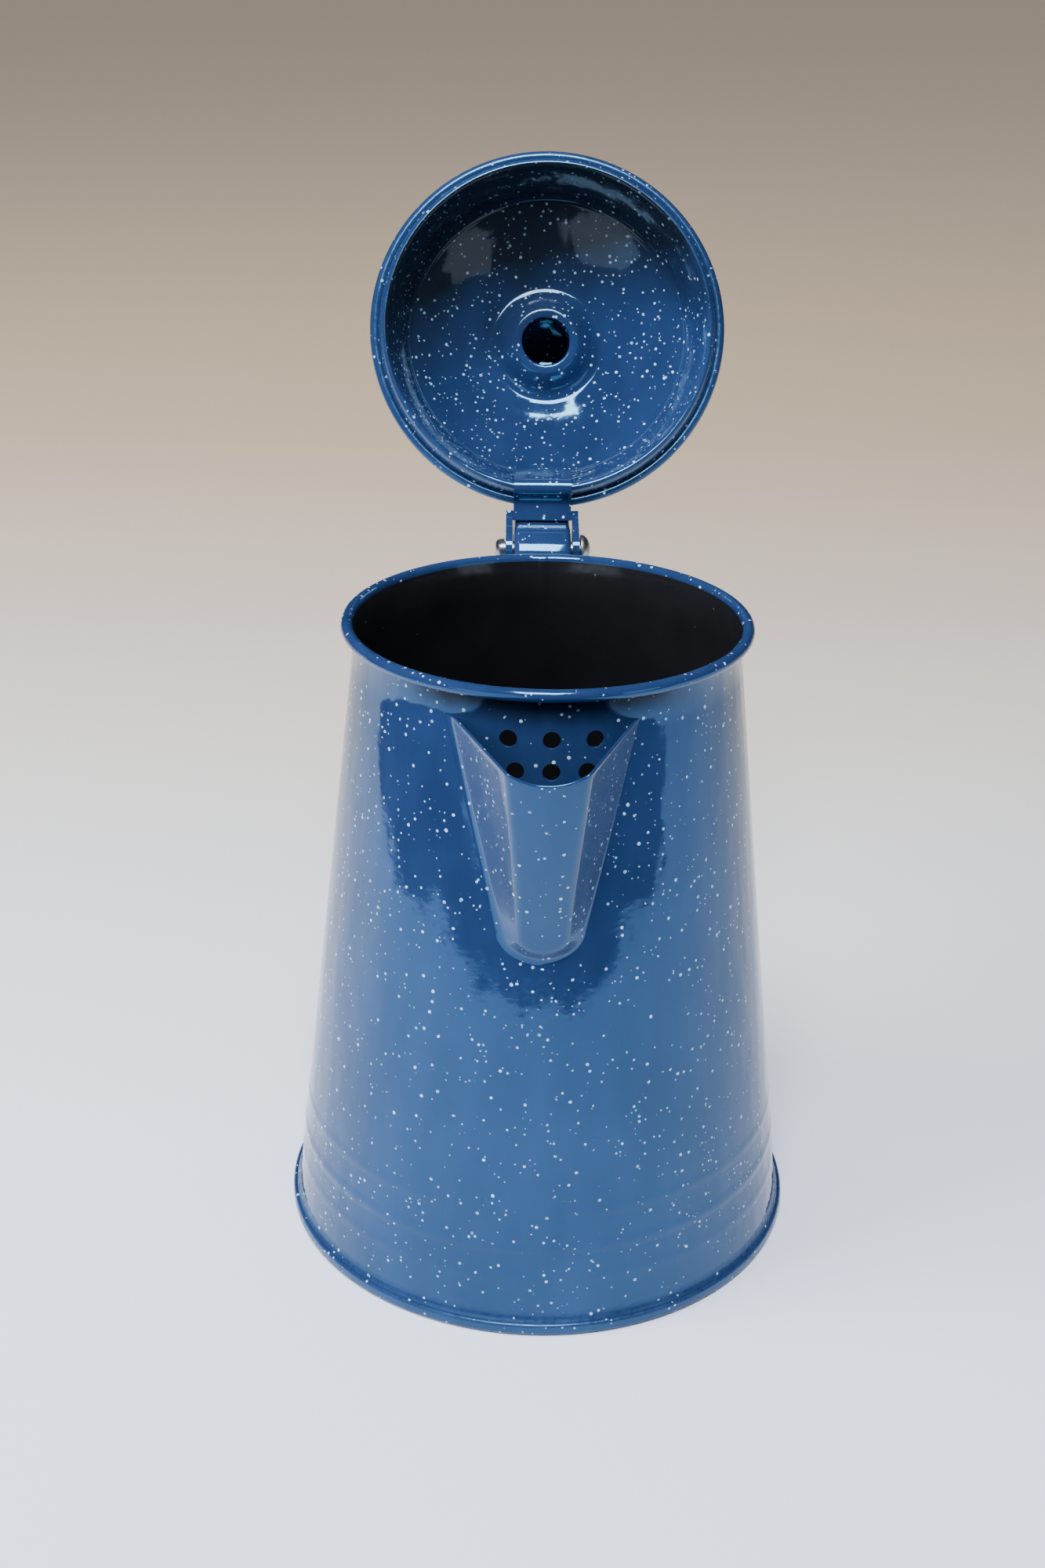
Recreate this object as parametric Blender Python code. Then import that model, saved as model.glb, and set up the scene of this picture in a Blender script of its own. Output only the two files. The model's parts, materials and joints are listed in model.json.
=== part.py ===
"""Enamelled sheet-steel coffee pot with a strainer spout and a hinged lid, standing with its lid open.

Units are metres, +Z is up. The origin is on the pot's axis, on the flat underside. The spout points
to -Y, the handle and the hinge to +Y. Lid parts are drawn shut, about the hinge pin, then turned open.
"""

from math import cos, hypot, pi, radians, sin, sqrt

import bmesh
import bpy
from mathutils import Matrix, Vector

MM = 0.001
GAP = 0.3 * MM
SHEET = 0.8 * MM
ROUND_STEPS = 48
LID_STEPS = 36
KNOB_STEPS = 24

# Body: a cone with three faint ribs, a rolled rim and a foot flange.
WALL_TOP_RADIUS = 50.44 * MM
WALL_TOP_Z = 172.93 * MM
WALL_FOOT_RADIUS = 69.94 * MM
WALL_FOOT_Z = 2.93 * MM
RIB_HEIGHTS = (16.3 * MM, 25.3 * MM, 35.6 * MM)
RIB_DEPTHS = (0.12 * MM, 0.25 * MM, 0.16 * MM)
RIB_HALF_WIDTH = 3.0 * MM
RIM_RADIUS = 52.36 * MM
RIM_Z = 174.83 * MM
RIM_ROLL = 1.64 * MM
RIM_WIRE_RADIUS = 0.5 * MM
FLANGE_RADIUS = 70.7 * MM
FLANGE_TOP_Z = 2.4 * MM
FLANGE_BOTTOM_Z = 1.1 * MM

# Bottom plate: a flat disc whose edge is folded up round the foot flange.
SEAM_RADIUS = 71.74 * MM
SEAM_HEIGHT = 3.7 * MM
SEAM_CORNER = 0.8 * MM

# Strainer holes behind the spout: height, number in the row, pitch.
HOLE_RADIUS = 2.2 * MM
HOLE_ROWS = (
    (163.0 * MM, 3, 10.6 * MM),
    (155.0 * MM, 3, 8.8 * MM),
    (147.0 * MM, 3, 7.0 * MM),
    (139.0 * MM, 2, 6.0 * MM),
)

# Spout: a flat front panel that leans out, with sides that fold back to the body.
SPOUT_X = -1.4 * MM
SPOUT_TOP_Z = 166.8 * MM
SPOUT_CORNER_DROP = 2.3 * MM
SPOUT_LIP_DIP = 2.8 * MM
SPOUT_OUTER_ARC_Z = 114.0 * MM
SPOUT_OUTER_ARC_DROP = 9.1 * MM
SPOUT_OUTER_HALF = (22.9 * MM, 10.7 * MM)
SPOUT_PANEL_ARC_Z = 113.7 * MM
SPOUT_PANEL_ARC_DROP = 4.3 * MM
SPOUT_PANEL_HALF = (9.9 * MM, 5.7 * MM)
SPOUT_PANEL_FOOT_Z = 106.0 * MM
SPOUT_PANEL_FOOT_OUT = 1.2 * MM
SPOUT_PANEL_LEAN = 0.272
SPOUT_PANEL_BULGE = 1.6 * MM
SPOUT_INTO_WALL = 0.6 * MM
SPOUT_BLANK_Z = (180.0 * MM, 90.0 * MM)
SPOUT_LEG_STEPS = 7
SPOUT_ARC_STEPS = 8
SPOUT_PANEL_COLUMNS = 4

# Hinge and handle: the handle's top bend stands between the lid strap's two ears.
PIN_Y = 64.8 * MM
PIN_Z = 174.0 * MM
PIN_RADIUS = 2.1 * MM
PIN_HOLE_RADIUS = PIN_RADIUS + GAP
PIN_HEAD_RADIUS = 4.2 * MM
PIN_HEAD_HEIGHT = 2.9 * MM
PIN_RIVET_RADIUS = 2.9 * MM
PIN_RIVET_HEIGHT = 2.6 * MM
LID_OPEN_ANGLE = radians(113.5)

HANDLE_HALF_WIDTH = 8.2 * MM
HANDLE_SHEET = 1.0 * MM
HANDLE_FLANGE = 5.0 * MM
HANDLE_END_FLANGE = 1.7 * MM
HANDLE_CORNER = 1.6 * MM
HANDLE_TOP_TAB_Z = 152.0 * MM
HANDLE_BEND_Y = 66.5 * MM
HANDLE_BEND_Z = 170.5 * MM
HANDLE_BEND_RADIUS = 9.5 * MM
HANDLE_BACK_Y = 112.0 * MM
HANDLE_TOP_CORNER = 20.0 * MM
HANDLE_HEEL_Y = 87.0 * MM
HANDLE_HEEL_Z = 89.0 * MM
HANDLE_LOW_TAB_Z = 70.0 * MM
HANDLE_TAB_LENGTH = 7.5 * MM
BOSS_RADIUS = 4.6 * MM

# Lid, drawn shut: heights are above the lowest edge of its V-shaped rim.
LID_X = 1.2 * MM
LID_BASE_Z = 173.7 * MM
LID_FOLD_RADIUS = 47.4 * MM
LID_FOLD_ROLL = 0.6 * MM
LID_BEAD_RADIUS = 50.5 * MM
LID_BEAD_Z = 5.7 * MM
LID_BEAD_ROLL = 1.5 * MM
LID_SHOULDER = (40.9 * MM, 16.3 * MM)
LID_CREST = (15.6 * MM, 26.9 * MM)
LID_DOME_RISE = 1.6 * MM
LID_SEAT_Z = 22.2 * MM
LID_COLLAR_RADIUS = 7.4 * MM
LID_COLLAR_TOP_Z = 29.4 * MM
LID_COLLAR_FLARE = (8.45 * MM, 31.0 * MM)

# Knob: a hollow sheet knob whose neck stands round the lid's collar, held by the collar's flare.
KNOB_NECK_RADIUS = 8.6 * MM
KNOB_NECK_FOOT_Z = 23.5 * MM
KNOB_NECK_TOP_Z = 29.0 * MM
KNOB_SHEET = 0.7 * MM
KNOB_HEAD_RADIUS = 15.0 * MM
KNOB_HEAD_Z = 38.5 * MM
KNOB_HEAD_RISE = 8.5 * MM

# Lid strap: a tongue inside the lid, folded under its rim and over the pot's rim to two ears.
STRAP_SHEET = 0.8 * MM
STRAP_HALF_WIDTH = 8.4 * MM
STRAP_SHOULDER_HALF = 9.9 * MM
STRAP_SHOULDER_RUN = 2.9 * MM
EAR_INNER_X = 8.6 * MM
EAR_SHEET = 1.2 * MM
EAR_SPLAY = 0.9 * MM
EAR_END_RADIUS = 4.8 * MM
STRAP_REAR_Y = 56.2 * MM
STRAP_OVER_RIM_Z = 177.2 * MM

ENAMEL_BLUE = (0.045, 0.155, 0.38, 1.0)
ENAMEL_BLACK = (0.006, 0.006, 0.008, 1.0)
STEEL = (0.62, 0.62, 0.64, 1.0)


def clear_scene():
    for obj in list(bpy.data.objects):
        bpy.data.objects.remove(obj)


def make_material(name, colour, roughness, metallic=0.0):
    material = bpy.data.materials.new(name)
    material.use_nodes = True
    shader = material.node_tree.nodes["Principled BSDF"]
    shader.inputs["Base Color"].default_value = colour
    shader.inputs["Roughness"].default_value = roughness
    shader.inputs["Metallic"].default_value = metallic
    material.diffuse_color = colour
    return material


def add_object(name, bm, material=None, sharp_angle=35):
    """An object from a bmesh, its normals facing out and its round faces smooth."""
    bmesh.ops.remove_doubles(bm, verts=bm.verts, dist=1e-6)
    bmesh.ops.recalc_face_normals(bm, faces=bm.faces)
    mesh = bpy.data.meshes.new(name)
    bm.to_mesh(mesh)
    bm.free()
    mesh.shade_smooth()
    mesh.set_sharp_from_angle(angle=radians(sharp_angle))
    obj = bpy.data.objects.new(name, mesh)
    bpy.context.scene.collection.objects.link(obj)
    if material:
        mesh.materials.append(material)
    return obj


def make_cutter(obj):
    obj.hide_render = True
    obj.display_type = "WIRE"
    return obj


def cut(target, cutter, operation="DIFFERENCE"):
    modifier = target.modifiers.new(cutter.name, "BOOLEAN")
    modifier.object = cutter
    modifier.operation = operation
    modifier.solver = "EXACT"


def arc(centre, radius, start, end, steps):
    """Points on a circle from the start angle to the end angle, both in degrees."""
    angles = [radians(start + (end - start) * i / steps) for i in range(steps + 1)]
    return [(centre[0] + radius * cos(a), centre[1] + radius * sin(a)) for a in angles]


def bezier(p0, p1, p2, p3, steps):
    points = []
    for i in range(steps + 1):
        t = i / steps
        weights = ((1 - t) ** 3, 3 * t * (1 - t) ** 2, 3 * t * t * (1 - t), t**3)
        corners = (p0, p1, p2, p3)
        points.append(tuple(sum(w * p[k] for w, p in zip(weights, corners)) for k in (0, 1)))
    return points


def path_normals(path):
    """The left-hand unit normal at each point of a path in the plane, with its mitre length."""
    normals = []
    for i, (a, b) in enumerate(path):
        before = path[max(i - 1, 0)]
        after = path[min(i + 1, len(path) - 1)]
        first = (a - before[0], b - before[1]) if i else (after[0] - a, after[1] - b)
        second = (after[0] - a, after[1] - b) if i < len(path) - 1 else first
        one, two = hypot(*first), hypot(*second)
        n1 = (-first[1] / one, first[0] / one)
        n2 = (-second[1] / two, second[0] / two)
        total = (n1[0] + n2[0], n1[1] + n2[1])
        scale = 2 / (total[0] ** 2 + total[1] ** 2)
        normals.append((total[0] * scale, total[1] * scale))
    return normals


def offset_path(path, distance):
    normals = path_normals(path)
    return [(p[0] + n[0] * distance, p[1] + n[1] * distance) for p, n in zip(path, normals)]


def sheet_outline(path, thickness):
    """The closed outline of sheet of this thickness along its middle line."""
    return offset_path(path, thickness / 2) + offset_path(path, -thickness / 2)[::-1]


def lathe(name, outline, steps, material, closed=True, centre=(0.0, 0.0)):
    """A turned solid from an outline of (radius, height) points. An open outline ends on the axis."""
    bm = bmesh.new()
    verts = [bm.verts.new((radius, 0, z)) for radius, z in outline]
    edges = [bm.edges.new(pair) for pair in zip(verts, verts[1:])]
    if closed:
        edges.append(bm.edges.new((verts[-1], verts[0])))
    bmesh.ops.spin(
        bm, geom=verts + edges, cent=(0, 0, 0), axis=(0, 0, 1), angle=2 * pi, steps=steps, use_merge=False
    )
    bmesh.ops.remove_doubles(bm, verts=bm.verts, dist=1e-6)
    bmesh.ops.translate(bm, verts=bm.verts, vec=(*centre, 0))
    return add_object(name, bm, material)


def wall_radius(z):
    """The outer radius of the body's cone at a height, without its ribs."""
    slope = (WALL_TOP_RADIUS - WALL_FOOT_RADIUS) / (WALL_TOP_Z - WALL_FOOT_Z)
    return WALL_FOOT_RADIUS + slope * (z - WALL_FOOT_Z)


def rib_swell(z):
    """How far the ribs stand out of the cone at a height."""
    near, depth = min((abs(z - height), depth) for height, depth in zip(RIB_HEIGHTS, RIB_DEPTHS))
    return depth * (1 + cos(pi * near / RIB_HALF_WIDTH)) / 2 if near < RIB_HALF_WIDTH else 0.0


def wall_heights():
    heights = [FLANGE_TOP_Z + SHEET, 6.5 * MM]
    for rib in RIB_HEIGHTS:
        heights += [rib + RIB_HALF_WIDTH * k for k in (-1.0, -0.45, 0.0, 0.45, 1.0)]
    return heights + [100 * MM, 137 * MM, 169 * MM, 171.5 * MM]


def body_path():
    """The middle line of the body's sheet, from the foot flange up to the rolled rim's end."""
    flange_z = (FLANGE_TOP_Z + FLANGE_BOTTOM_Z) / 2
    corner_radius = wall_radius(flange_z) - SHEET / 2 + GAP
    foot = [(FLANGE_RADIUS - SHEET / 2, flange_z), (corner_radius, flange_z)]
    wall = [(wall_radius(z) + rib_swell(z) - SHEET / 2, z) for z in wall_heights()]
    roll = arc((RIM_RADIUS, RIM_Z), RIM_ROLL - SHEET / 2, 186, -128, 8)
    return foot + wall + roll


def make_body(material):
    body = lathe("body", sheet_outline(body_path(), SHEET), ROUND_STEPS, material)
    bm = bmesh.new()
    for z, count, pitch in HOLE_ROWS:
        for i in range(count):
            turn = (i - (count - 1) / 2) * pitch / wall_radius(z)
            out = Matrix.Translation((0, -wall_radius(z), z)) @ Matrix.Rotation(pi / 2, 4, "X")
            bmesh.ops.create_cone(
                bm, cap_ends=True, segments=12, radius1=HOLE_RADIUS, radius2=HOLE_RADIUS,
                depth=8 * SHEET, matrix=Matrix.Rotation(turn, 4, "Z") @ out,
            )
    cut(body, make_cutter(add_object("strainer_punch", bm)))
    return body


def make_rim_wire(material):
    outline = arc((RIM_RADIUS, RIM_Z), RIM_WIRE_RADIUS, 0, 300, 5)
    return lathe("rim_wire", outline, ROUND_STEPS, material)


def make_bottom_plate(material):
    outer = SEAM_RADIUS - SHEET / 2
    top = SEAM_HEIGHT - SHEET / 2
    low = SHEET / 2
    inner = wall_radius(SEAM_HEIGHT - SHEET) + 1.2 * GAP
    path = [(0, low)]
    path += arc((outer - SEAM_CORNER, low + SEAM_CORNER), SEAM_CORNER, -90, 0, 3)
    path += arc((outer - SEAM_CORNER / 2, top - SEAM_CORNER / 2), SEAM_CORNER / 2, 0, 90, 2)
    path += [(inner, top)]
    upper = offset_path(path, SHEET / 2)
    lower = offset_path(path, -SHEET / 2)
    outline = upper + lower[::-1]
    return lathe("bottom_plate", outline, ROUND_STEPS, material, closed=False)


def panel_depth(z):
    """How far from the pot's axis the spout's front panel is, at a height, along its edges."""
    foot = wall_radius(SPOUT_PANEL_FOOT_Z) + SPOUT_PANEL_FOOT_OUT
    return foot + SPOUT_PANEL_LEAN * (z - SPOUT_PANEL_FOOT_Z)


def u_curve(halves, arc_z, arc_drop):
    """The left half of a U from its top to the middle of its foot, as (x, z) points."""
    top_half, low_half = halves
    points = []
    for i in range(SPOUT_LEG_STEPS):
        t = i / SPOUT_LEG_STEPS
        points.append((-top_half + (top_half - low_half) * t, SPOUT_TOP_Z + (arc_z - SPOUT_TOP_Z) * t))
    for i in range(SPOUT_ARC_STEPS + 1):
        a = pi / 2 * i / SPOUT_ARC_STEPS
        points.append((-low_half * cos(a), arc_z - arc_drop * sin(a)))
    return points


def spout_rows():
    """Rows of points across the spout's outer surface, top row first, from its left edge to its right."""
    outer = u_curve(SPOUT_OUTER_HALF, SPOUT_OUTER_ARC_Z, SPOUT_OUTER_ARC_DROP)
    inner = u_curve(SPOUT_PANEL_HALF, SPOUT_PANEL_ARC_Z, SPOUT_PANEL_ARC_DROP)
    rows = []
    for k, ((xo, zo), (xi, zi)) in enumerate(zip(outer[:-1], inner[:-1])):
        fade = max(0.0, 1 - k / SPOUT_LEG_STEPS)
        corner_z = zi - SPOUT_CORNER_DROP * fade
        wall = wall_radius(zo) - SPOUT_INTO_WALL
        start = Vector((xo, -sqrt(wall**2 - xo**2), zo))
        edge = Vector((xi, -panel_depth(corner_z), corner_z))
        side = [start.lerp(edge, t) for t in (0, 0.3, 0.6, 0.9)]
        panel = []
        for m in range(1, SPOUT_PANEL_COLUMNS):
            across = 2 * m / SPOUT_PANEL_COLUMNS - 1
            middle = 1 - across**2
            z = corner_z - SPOUT_LIP_DIP * middle * fade
            panel.append(Vector((-xi * across, -panel_depth(z) - SPOUT_PANEL_BULGE * middle, z)))
        mirrored = [Vector((-p.x, p.y, p.z)) for p in reversed(side)]
        rows.append(side + panel + mirrored)
    return rows, (outer[-1], inner[-1])


def make_spout(material):
    bm = bmesh.new()
    rows, (outer_foot, inner_foot) = spout_rows()
    grid = [[bm.verts.new(p) for p in row] for row in rows]
    for upper, lower in zip(grid, grid[1:]):
        for a, b, c, d in zip(upper, upper[1:], lower[1:], lower):
            bm.faces.new((a, b, c, d))
    last = grid[-1]
    count = len(last)
    wall = wall_radius(outer_foot[1]) - SPOUT_INTO_WALL
    start = Vector((0, -wall, outer_foot[1]))
    edge = Vector((0, -panel_depth(inner_foot[1]) - SPOUT_PANEL_BULGE * 0.5, inner_foot[1]))
    toe = [bm.verts.new(start.lerp(edge, t)) for t in (0, 0.3, 0.6, 0.9)]
    for i in range(3):
        bm.faces.new((last[i], last[i + 1], toe[i + 1], toe[i]))
        bm.faces.new((last[count - 2 - i], last[count - 1 - i], toe[i], toe[i + 1]))
    bm.faces.new([last[i] for i in range(3, count - 3)] + [toe[3]])
    bmesh.ops.translate(bm, verts=bm.verts, vec=(SPOUT_X, 0, 0))
    bmesh.ops.triangulate(bm, faces=[f for f in bm.faces if len(f.verts) > 4])
    bmesh.ops.recalc_face_normals(bm, faces=bm.faces)
    if sum(f.normal.y for f in bm.faces) > 0:
        bmesh.ops.reverse_faces(bm, faces=bm.faces)
    spout = add_sheet_object("spout", bm, material)
    shell = spout.modifiers.new("sheet", "SOLIDIFY")
    shell.thickness = SHEET
    shell.offset = -1
    top, low = SPOUT_BLANK_Z
    blank = [(0, top), (wall_radius(top) + GAP, top), (wall_radius(low) + GAP, low), (0, low)]
    cut(spout, make_cutter(lathe("wall_blank", blank, ROUND_STEPS, None, closed=False)))
    return spout


def add_sheet_object(name, bm, material):
    """An object from an open sheet that already faces the right way."""
    mesh = bpy.data.meshes.new(name)
    bm.to_mesh(mesh)
    bm.free()
    mesh.shade_smooth()
    mesh.set_sharp_from_angle(angle=radians(35))
    mesh.materials.append(material)
    obj = bpy.data.objects.new(name, mesh)
    bpy.context.scene.collection.objects.link(obj)
    return obj


def loft(bm, sections):
    """A closed solid through sections that are loops of equally many points."""
    loops = [[bm.verts.new(p) for p in section] for section in sections]
    count = len(loops[0])
    for one, two in zip(loops, loops[1:]):
        for i in range(count):
            j = (i + 1) % count
            bm.faces.new((one[i], one[j], two[j], two[i]))
    bm.faces.new(loops[0])
    bm.faces.new(loops[-1])


def channel_section(half_width, flange, thickness):
    """A U channel's outline as (x, depth): depth 0 is its outer face, and its flanges point to +depth."""
    corner = HANDLE_CORNER
    right = arc((half_width - corner, corner), corner, -90, 0, 3) + [(half_width, flange)]
    inner_corner = corner - thickness * 0.75
    edge = half_width - thickness
    inside = [(edge, flange)] + arc(
        (edge - inner_corner, thickness + inner_corner), inner_corner, 0, -90, 2
    )
    half = right + inside
    return half + [(-x, d) for x, d in reversed(half)]


def handle_path():
    """The line of the handle's outer face, as (y, z), from its top tab round to its low tab."""
    top_tab = (wall_radius(HANDLE_TOP_TAB_Z) + GAP, HANDLE_TOP_TAB_Z)
    knee_z = HANDLE_TOP_TAB_Z + HANDLE_TAB_LENGTH
    knee = (wall_radius(knee_z) + GAP, knee_z)
    bend = (HANDLE_BEND_Y, HANDLE_BEND_Z)
    bend_start = (HANDLE_BEND_Y - HANDLE_BEND_RADIUS, HANDLE_BEND_Z)
    rise = bezier(
        knee, (knee[0] - 0.4 * MM, knee_z + 5 * MM), (bend_start[0], bend_start[1] - 4.5 * MM), bend_start, 4
    )
    top_z = HANDLE_BEND_Z + HANDLE_BEND_RADIUS
    back = (HANDLE_BACK_Y, top_z - HANDLE_TOP_CORNER)
    stand_off = GAP + HANDLE_END_FLANGE
    low_tab = (wall_radius(HANDLE_LOW_TAB_Z) + stand_off, HANDLE_LOW_TAB_Z)
    low_knee_z = HANDLE_LOW_TAB_Z + HANDLE_TAB_LENGTH
    low_knee = (wall_radius(low_knee_z) + stand_off, low_knee_z)
    heel = (HANDLE_HEEL_Y, HANDLE_HEEL_Z)
    path = [top_tab] + rise + arc(bend, HANDLE_BEND_RADIUS, 180, 90, 6)[1:]
    path += bezier(
        (HANDLE_BEND_Y + 14 * MM, top_z), (back[0] - 9 * MM, top_z), (back[0], top_z - 7 * MM), back, 6
    )
    path += bezier(
        back, (back[0], back[1] - 30 * MM), (heel[0] + 20 * MM, heel[1] + 11 * MM), heel, 7
    )[1:]
    path += bezier(
        heel, (heel[0] - 9 * MM, heel[1] - 5 * MM),
        (low_knee[0] + 0.9 * MM, low_knee_z + 6 * MM), low_knee, 5
    )[1:]
    return path + [low_tab]


def make_handle(material):
    path = handle_path()
    normals = path_normals(path)
    total = len(path)
    sections = []
    for i, ((y, z), (ny, nz)) in enumerate(zip(path, normals)):
        near_end = i < 2 or i > total - 3
        flange = HANDLE_END_FLANGE if near_end else HANDLE_FLANGE
        section = channel_section(HANDLE_HALF_WIDTH, flange, HANDLE_SHEET)
        sections.append([(x, y - ny * d, z - nz * d) for x, d in section])
    bm = bmesh.new()
    loft(bm, sections)
    handle = add_object("handle", bm, material)
    for side in (-1, 1):
        bm = bmesh.new()
        middle = side * (HANDLE_HALF_WIDTH - HANDLE_SHEET / 2)
        place = Matrix.Translation((middle, PIN_Y, PIN_Z)) @ Matrix.Rotation(pi / 2, 4, "Y")
        bmesh.ops.create_cone(
            bm, cap_ends=True, segments=20, radius1=BOSS_RADIUS, radius2=BOSS_RADIUS,
            depth=HANDLE_SHEET * 0.86, matrix=place,
        )
        cut(handle, make_cutter(add_object(f"hinge_boss_{side + 2}", bm)), "UNION")
    cut(handle, make_cutter(pin_drill("handle_drill", HANDLE_HALF_WIDTH + 2 * MM, PIN_Y, PIN_Z)))
    return handle


def pin_drill(name, reach, y, z):
    bm = bmesh.new()
    bmesh.ops.create_cone(
        bm, cap_ends=True, segments=20, radius1=PIN_HOLE_RADIUS, radius2=PIN_HOLE_RADIUS,
        depth=2 * reach, matrix=Matrix.Translation((0, y, z)) @ Matrix.Rotation(pi / 2, 4, "Y"),
    )
    return add_object(name, bm)


def make_hinge_pin(material):
    """A round-head rivet along X: its made head at +X, its peened end at -X."""
    ear_face = EAR_INNER_X + EAR_SHEET + EAR_SPLAY + GAP
    shank = PIN_RADIUS
    outline = [(0, -ear_face - PIN_RIVET_HEIGHT)]
    outline += [(PIN_RIVET_RADIUS * 0.75, -ear_face - PIN_RIVET_HEIGHT * 0.8)]
    outline += [(PIN_RIVET_RADIUS, -ear_face - PIN_RIVET_HEIGHT * 0.35), (PIN_RIVET_RADIUS, -ear_face)]
    outline += [(shank, -ear_face), (shank, ear_face)]
    for i in range(6):
        a = pi / 2 * i / 5
        outline.append((PIN_HEAD_RADIUS * cos(a), ear_face + PIN_HEAD_HEIGHT * sin(a)))
    pin = lathe("hinge_pin", outline[:-1] + [(0, outline[-1][1])], 24, material, closed=False)
    pin.location = (0, PIN_Y, PIN_Z)
    pin.rotation_euler = (0, pi / 2, 0)
    return pin


def lid_path():
    """The middle line of the lid's sheet, from the collar in the knob out to its rolled edge."""
    crest_r, crest_z = LID_CREST
    shoulder_r, shoulder_z = LID_SHOULDER
    collar = LID_COLLAR_RADIUS
    path = [LID_COLLAR_FLARE, (collar, LID_COLLAR_TOP_Z), (collar, LID_SEAT_Z + 1.1 * MM)]
    path += [(collar + 1.1 * MM, LID_SEAT_Z + 0.05 * MM), (collar + 2.6 * MM, LID_SEAT_Z + 0.2 * MM)]
    path += [(crest_r - 2.0 * MM, crest_z - 0.9 * MM), (crest_r, crest_z)]
    dome_end = (shoulder_r - 1.6 * MM, shoulder_z + 0.4 * MM)
    for i in range(1, 6):
        t = i / 5
        rise = LID_DOME_RISE * 4 * t * (1 - t)
        r = crest_r + (dome_end[0] - crest_r) * t
        path.append((r, crest_z + (dome_end[1] - crest_z) * t + rise))
    path += [(shoulder_r, shoulder_z - 1.3 * MM)]
    fold = (LID_FOLD_RADIUS - 0.05 * MM, SHEET / 2 + LID_FOLD_ROLL)
    path += arc(fold, LID_FOLD_ROLL, 200, 340, 4)
    roll = arc((LID_BEAD_RADIUS, LID_BEAD_Z), LID_BEAD_ROLL - SHEET / 2, 165, -150, 8)
    return path + roll


def lid_from_pin(points):
    """Points of a lid part drawn shut, moved so that the hinge pin is the origin."""
    return [(r, z + LID_BASE_Z - PIN_Z) for r, z in points]


def open_lid_part(obj):
    obj.location = (0, PIN_Y, PIN_Z)
    obj.rotation_euler = (-LID_OPEN_ANGLE, 0, 0)
    return obj


def make_lid(material):
    outline = lid_from_pin(sheet_outline(lid_path(), SHEET))
    return open_lid_part(lathe("lid", outline, LID_STEPS, material, centre=(LID_X, -PIN_Y)))


def knob_path():
    """The middle line of the knob's sheet, from the foot of its neck to the top of its head."""
    path = [(KNOB_NECK_RADIUS, KNOB_NECK_FOOT_Z), (KNOB_NECK_RADIUS, KNOB_NECK_TOP_Z)]
    for i in range(9):
        a = radians(-45 + (90 + 45) * i / 8)
        path.append((KNOB_HEAD_RADIUS * cos(a), KNOB_HEAD_Z + KNOB_HEAD_RISE * sin(a)))
    return path


def make_knob(material):
    path = lid_from_pin(knob_path())
    inner = offset_path(path, KNOB_SHEET / 2)
    outer = offset_path(path, -KNOB_SHEET / 2)
    inner[-1] = (0, inner[-1][1])
    outer[-1] = (0, outer[-1][1])
    outline = inner[::-1] + outer
    knob = lathe("knob", outline, KNOB_STEPS, material, closed=False, centre=(LID_X, -PIN_Y))
    return open_lid_part(knob)


def strap_stations():
    """The strap's middle line drawn shut, as (y, z, half width), from its tongue to its rear edge."""
    full = STRAP_HALF_WIDTH
    base = LID_BASE_Z
    over = STRAP_OVER_RIM_Z
    tongue = [(37.9 * MM, base + 15.0 * MM, full * 0.55), (38.6 * MM, base + 13.9 * MM, full * 0.85)]
    tongue += [(39.4 * MM, base + 12.2 * MM, full), (43.75 * MM, base + 2.6 * MM, full)]
    fold = [(y, z, full) for y, z in arc((46.8 * MM, base + 1.3 * MM), 2.3 * MM, 195, 335, 6)]
    outside = [(49.55 * MM, over - 1.1 * MM, full), (50.3 * MM, over - 0.25 * MM, full)]
    return tongue + fold + outside + [(51.4 * MM, over, full), (STRAP_REAR_Y, over, full)]


def strap_web(bm):
    stations = strap_stations()
    path = [(y - PIN_Y, z - PIN_Z) for y, z, _ in stations]
    one, two = (offset_path(path, side * STRAP_SHEET / 2) for side in (-1, 1))
    sections = []
    for (y1, z1), (y2, z2), (_, _, half) in zip(one, two, stations):
        sections.append([(-half, y1, z1), (half, y1, z1), (half, y2, z2), (-half, y2, z2)])
    loft(bm, sections)


def ear_outline():
    """An ear's outline drawn shut, as (y, z) from the pin: a round end and a straight run to the web."""
    top = STRAP_OVER_RIM_Z - PIN_Z + STRAP_SHEET / 2
    front = STRAP_REAR_Y - PIN_Y - STRAP_SHOULDER_RUN
    low = top - STRAP_SHEET
    end = arc((0, 0), EAR_END_RADIUS, 232, 470, 12)
    return [(front, low), (front + 1.9 * MM, low)] + end + [(front, top)]


def make_lid_strap(material):
    bm = bmesh.new()
    strap_web(bm)
    strap = add_object("lid_strap", bm, material)
    bm = bmesh.new()
    top = STRAP_OVER_RIM_Z - PIN_Z + STRAP_SHEET * 0.45
    rear = STRAP_REAR_Y - PIN_Y
    inset = 0.05 * MM
    ends = (rear - STRAP_SHOULDER_RUN + 2 * inset, rear - inset)
    half = STRAP_SHOULDER_HALF - inset
    sections = []
    for y in ends:
        low = top - STRAP_SHEET * 0.9
        sections.append([(-half, y, low), (half, y, low), (half, y, top), (-half, y, top)])
    loft(bm, sections)
    cut(strap, make_cutter(add_object("strap_shoulder", bm)), "UNION")
    for side in (-1, 1):
        bm = bmesh.new()
        sections = []
        for x in (EAR_INNER_X, EAR_INNER_X + EAR_SHEET):
            reach = PIN_Y - STRAP_REAR_Y + STRAP_SHOULDER_RUN
            sections.append(
                [(side * (x + EAR_SPLAY * min(1.0, 1 + y / reach)), y, z) for y, z in ear_outline()]
            )
        loft(bm, sections)
        cut(strap, make_cutter(add_object(f"strap_ear_{side + 2}", bm)), "UNION")
    cut(strap, make_cutter(pin_drill("ear_drill", 16 * MM, 0, 0)))
    open_lid_part(strap)
    for modifier in strap.modifiers:
        open_lid_part(modifier.object)
    return strap


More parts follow.
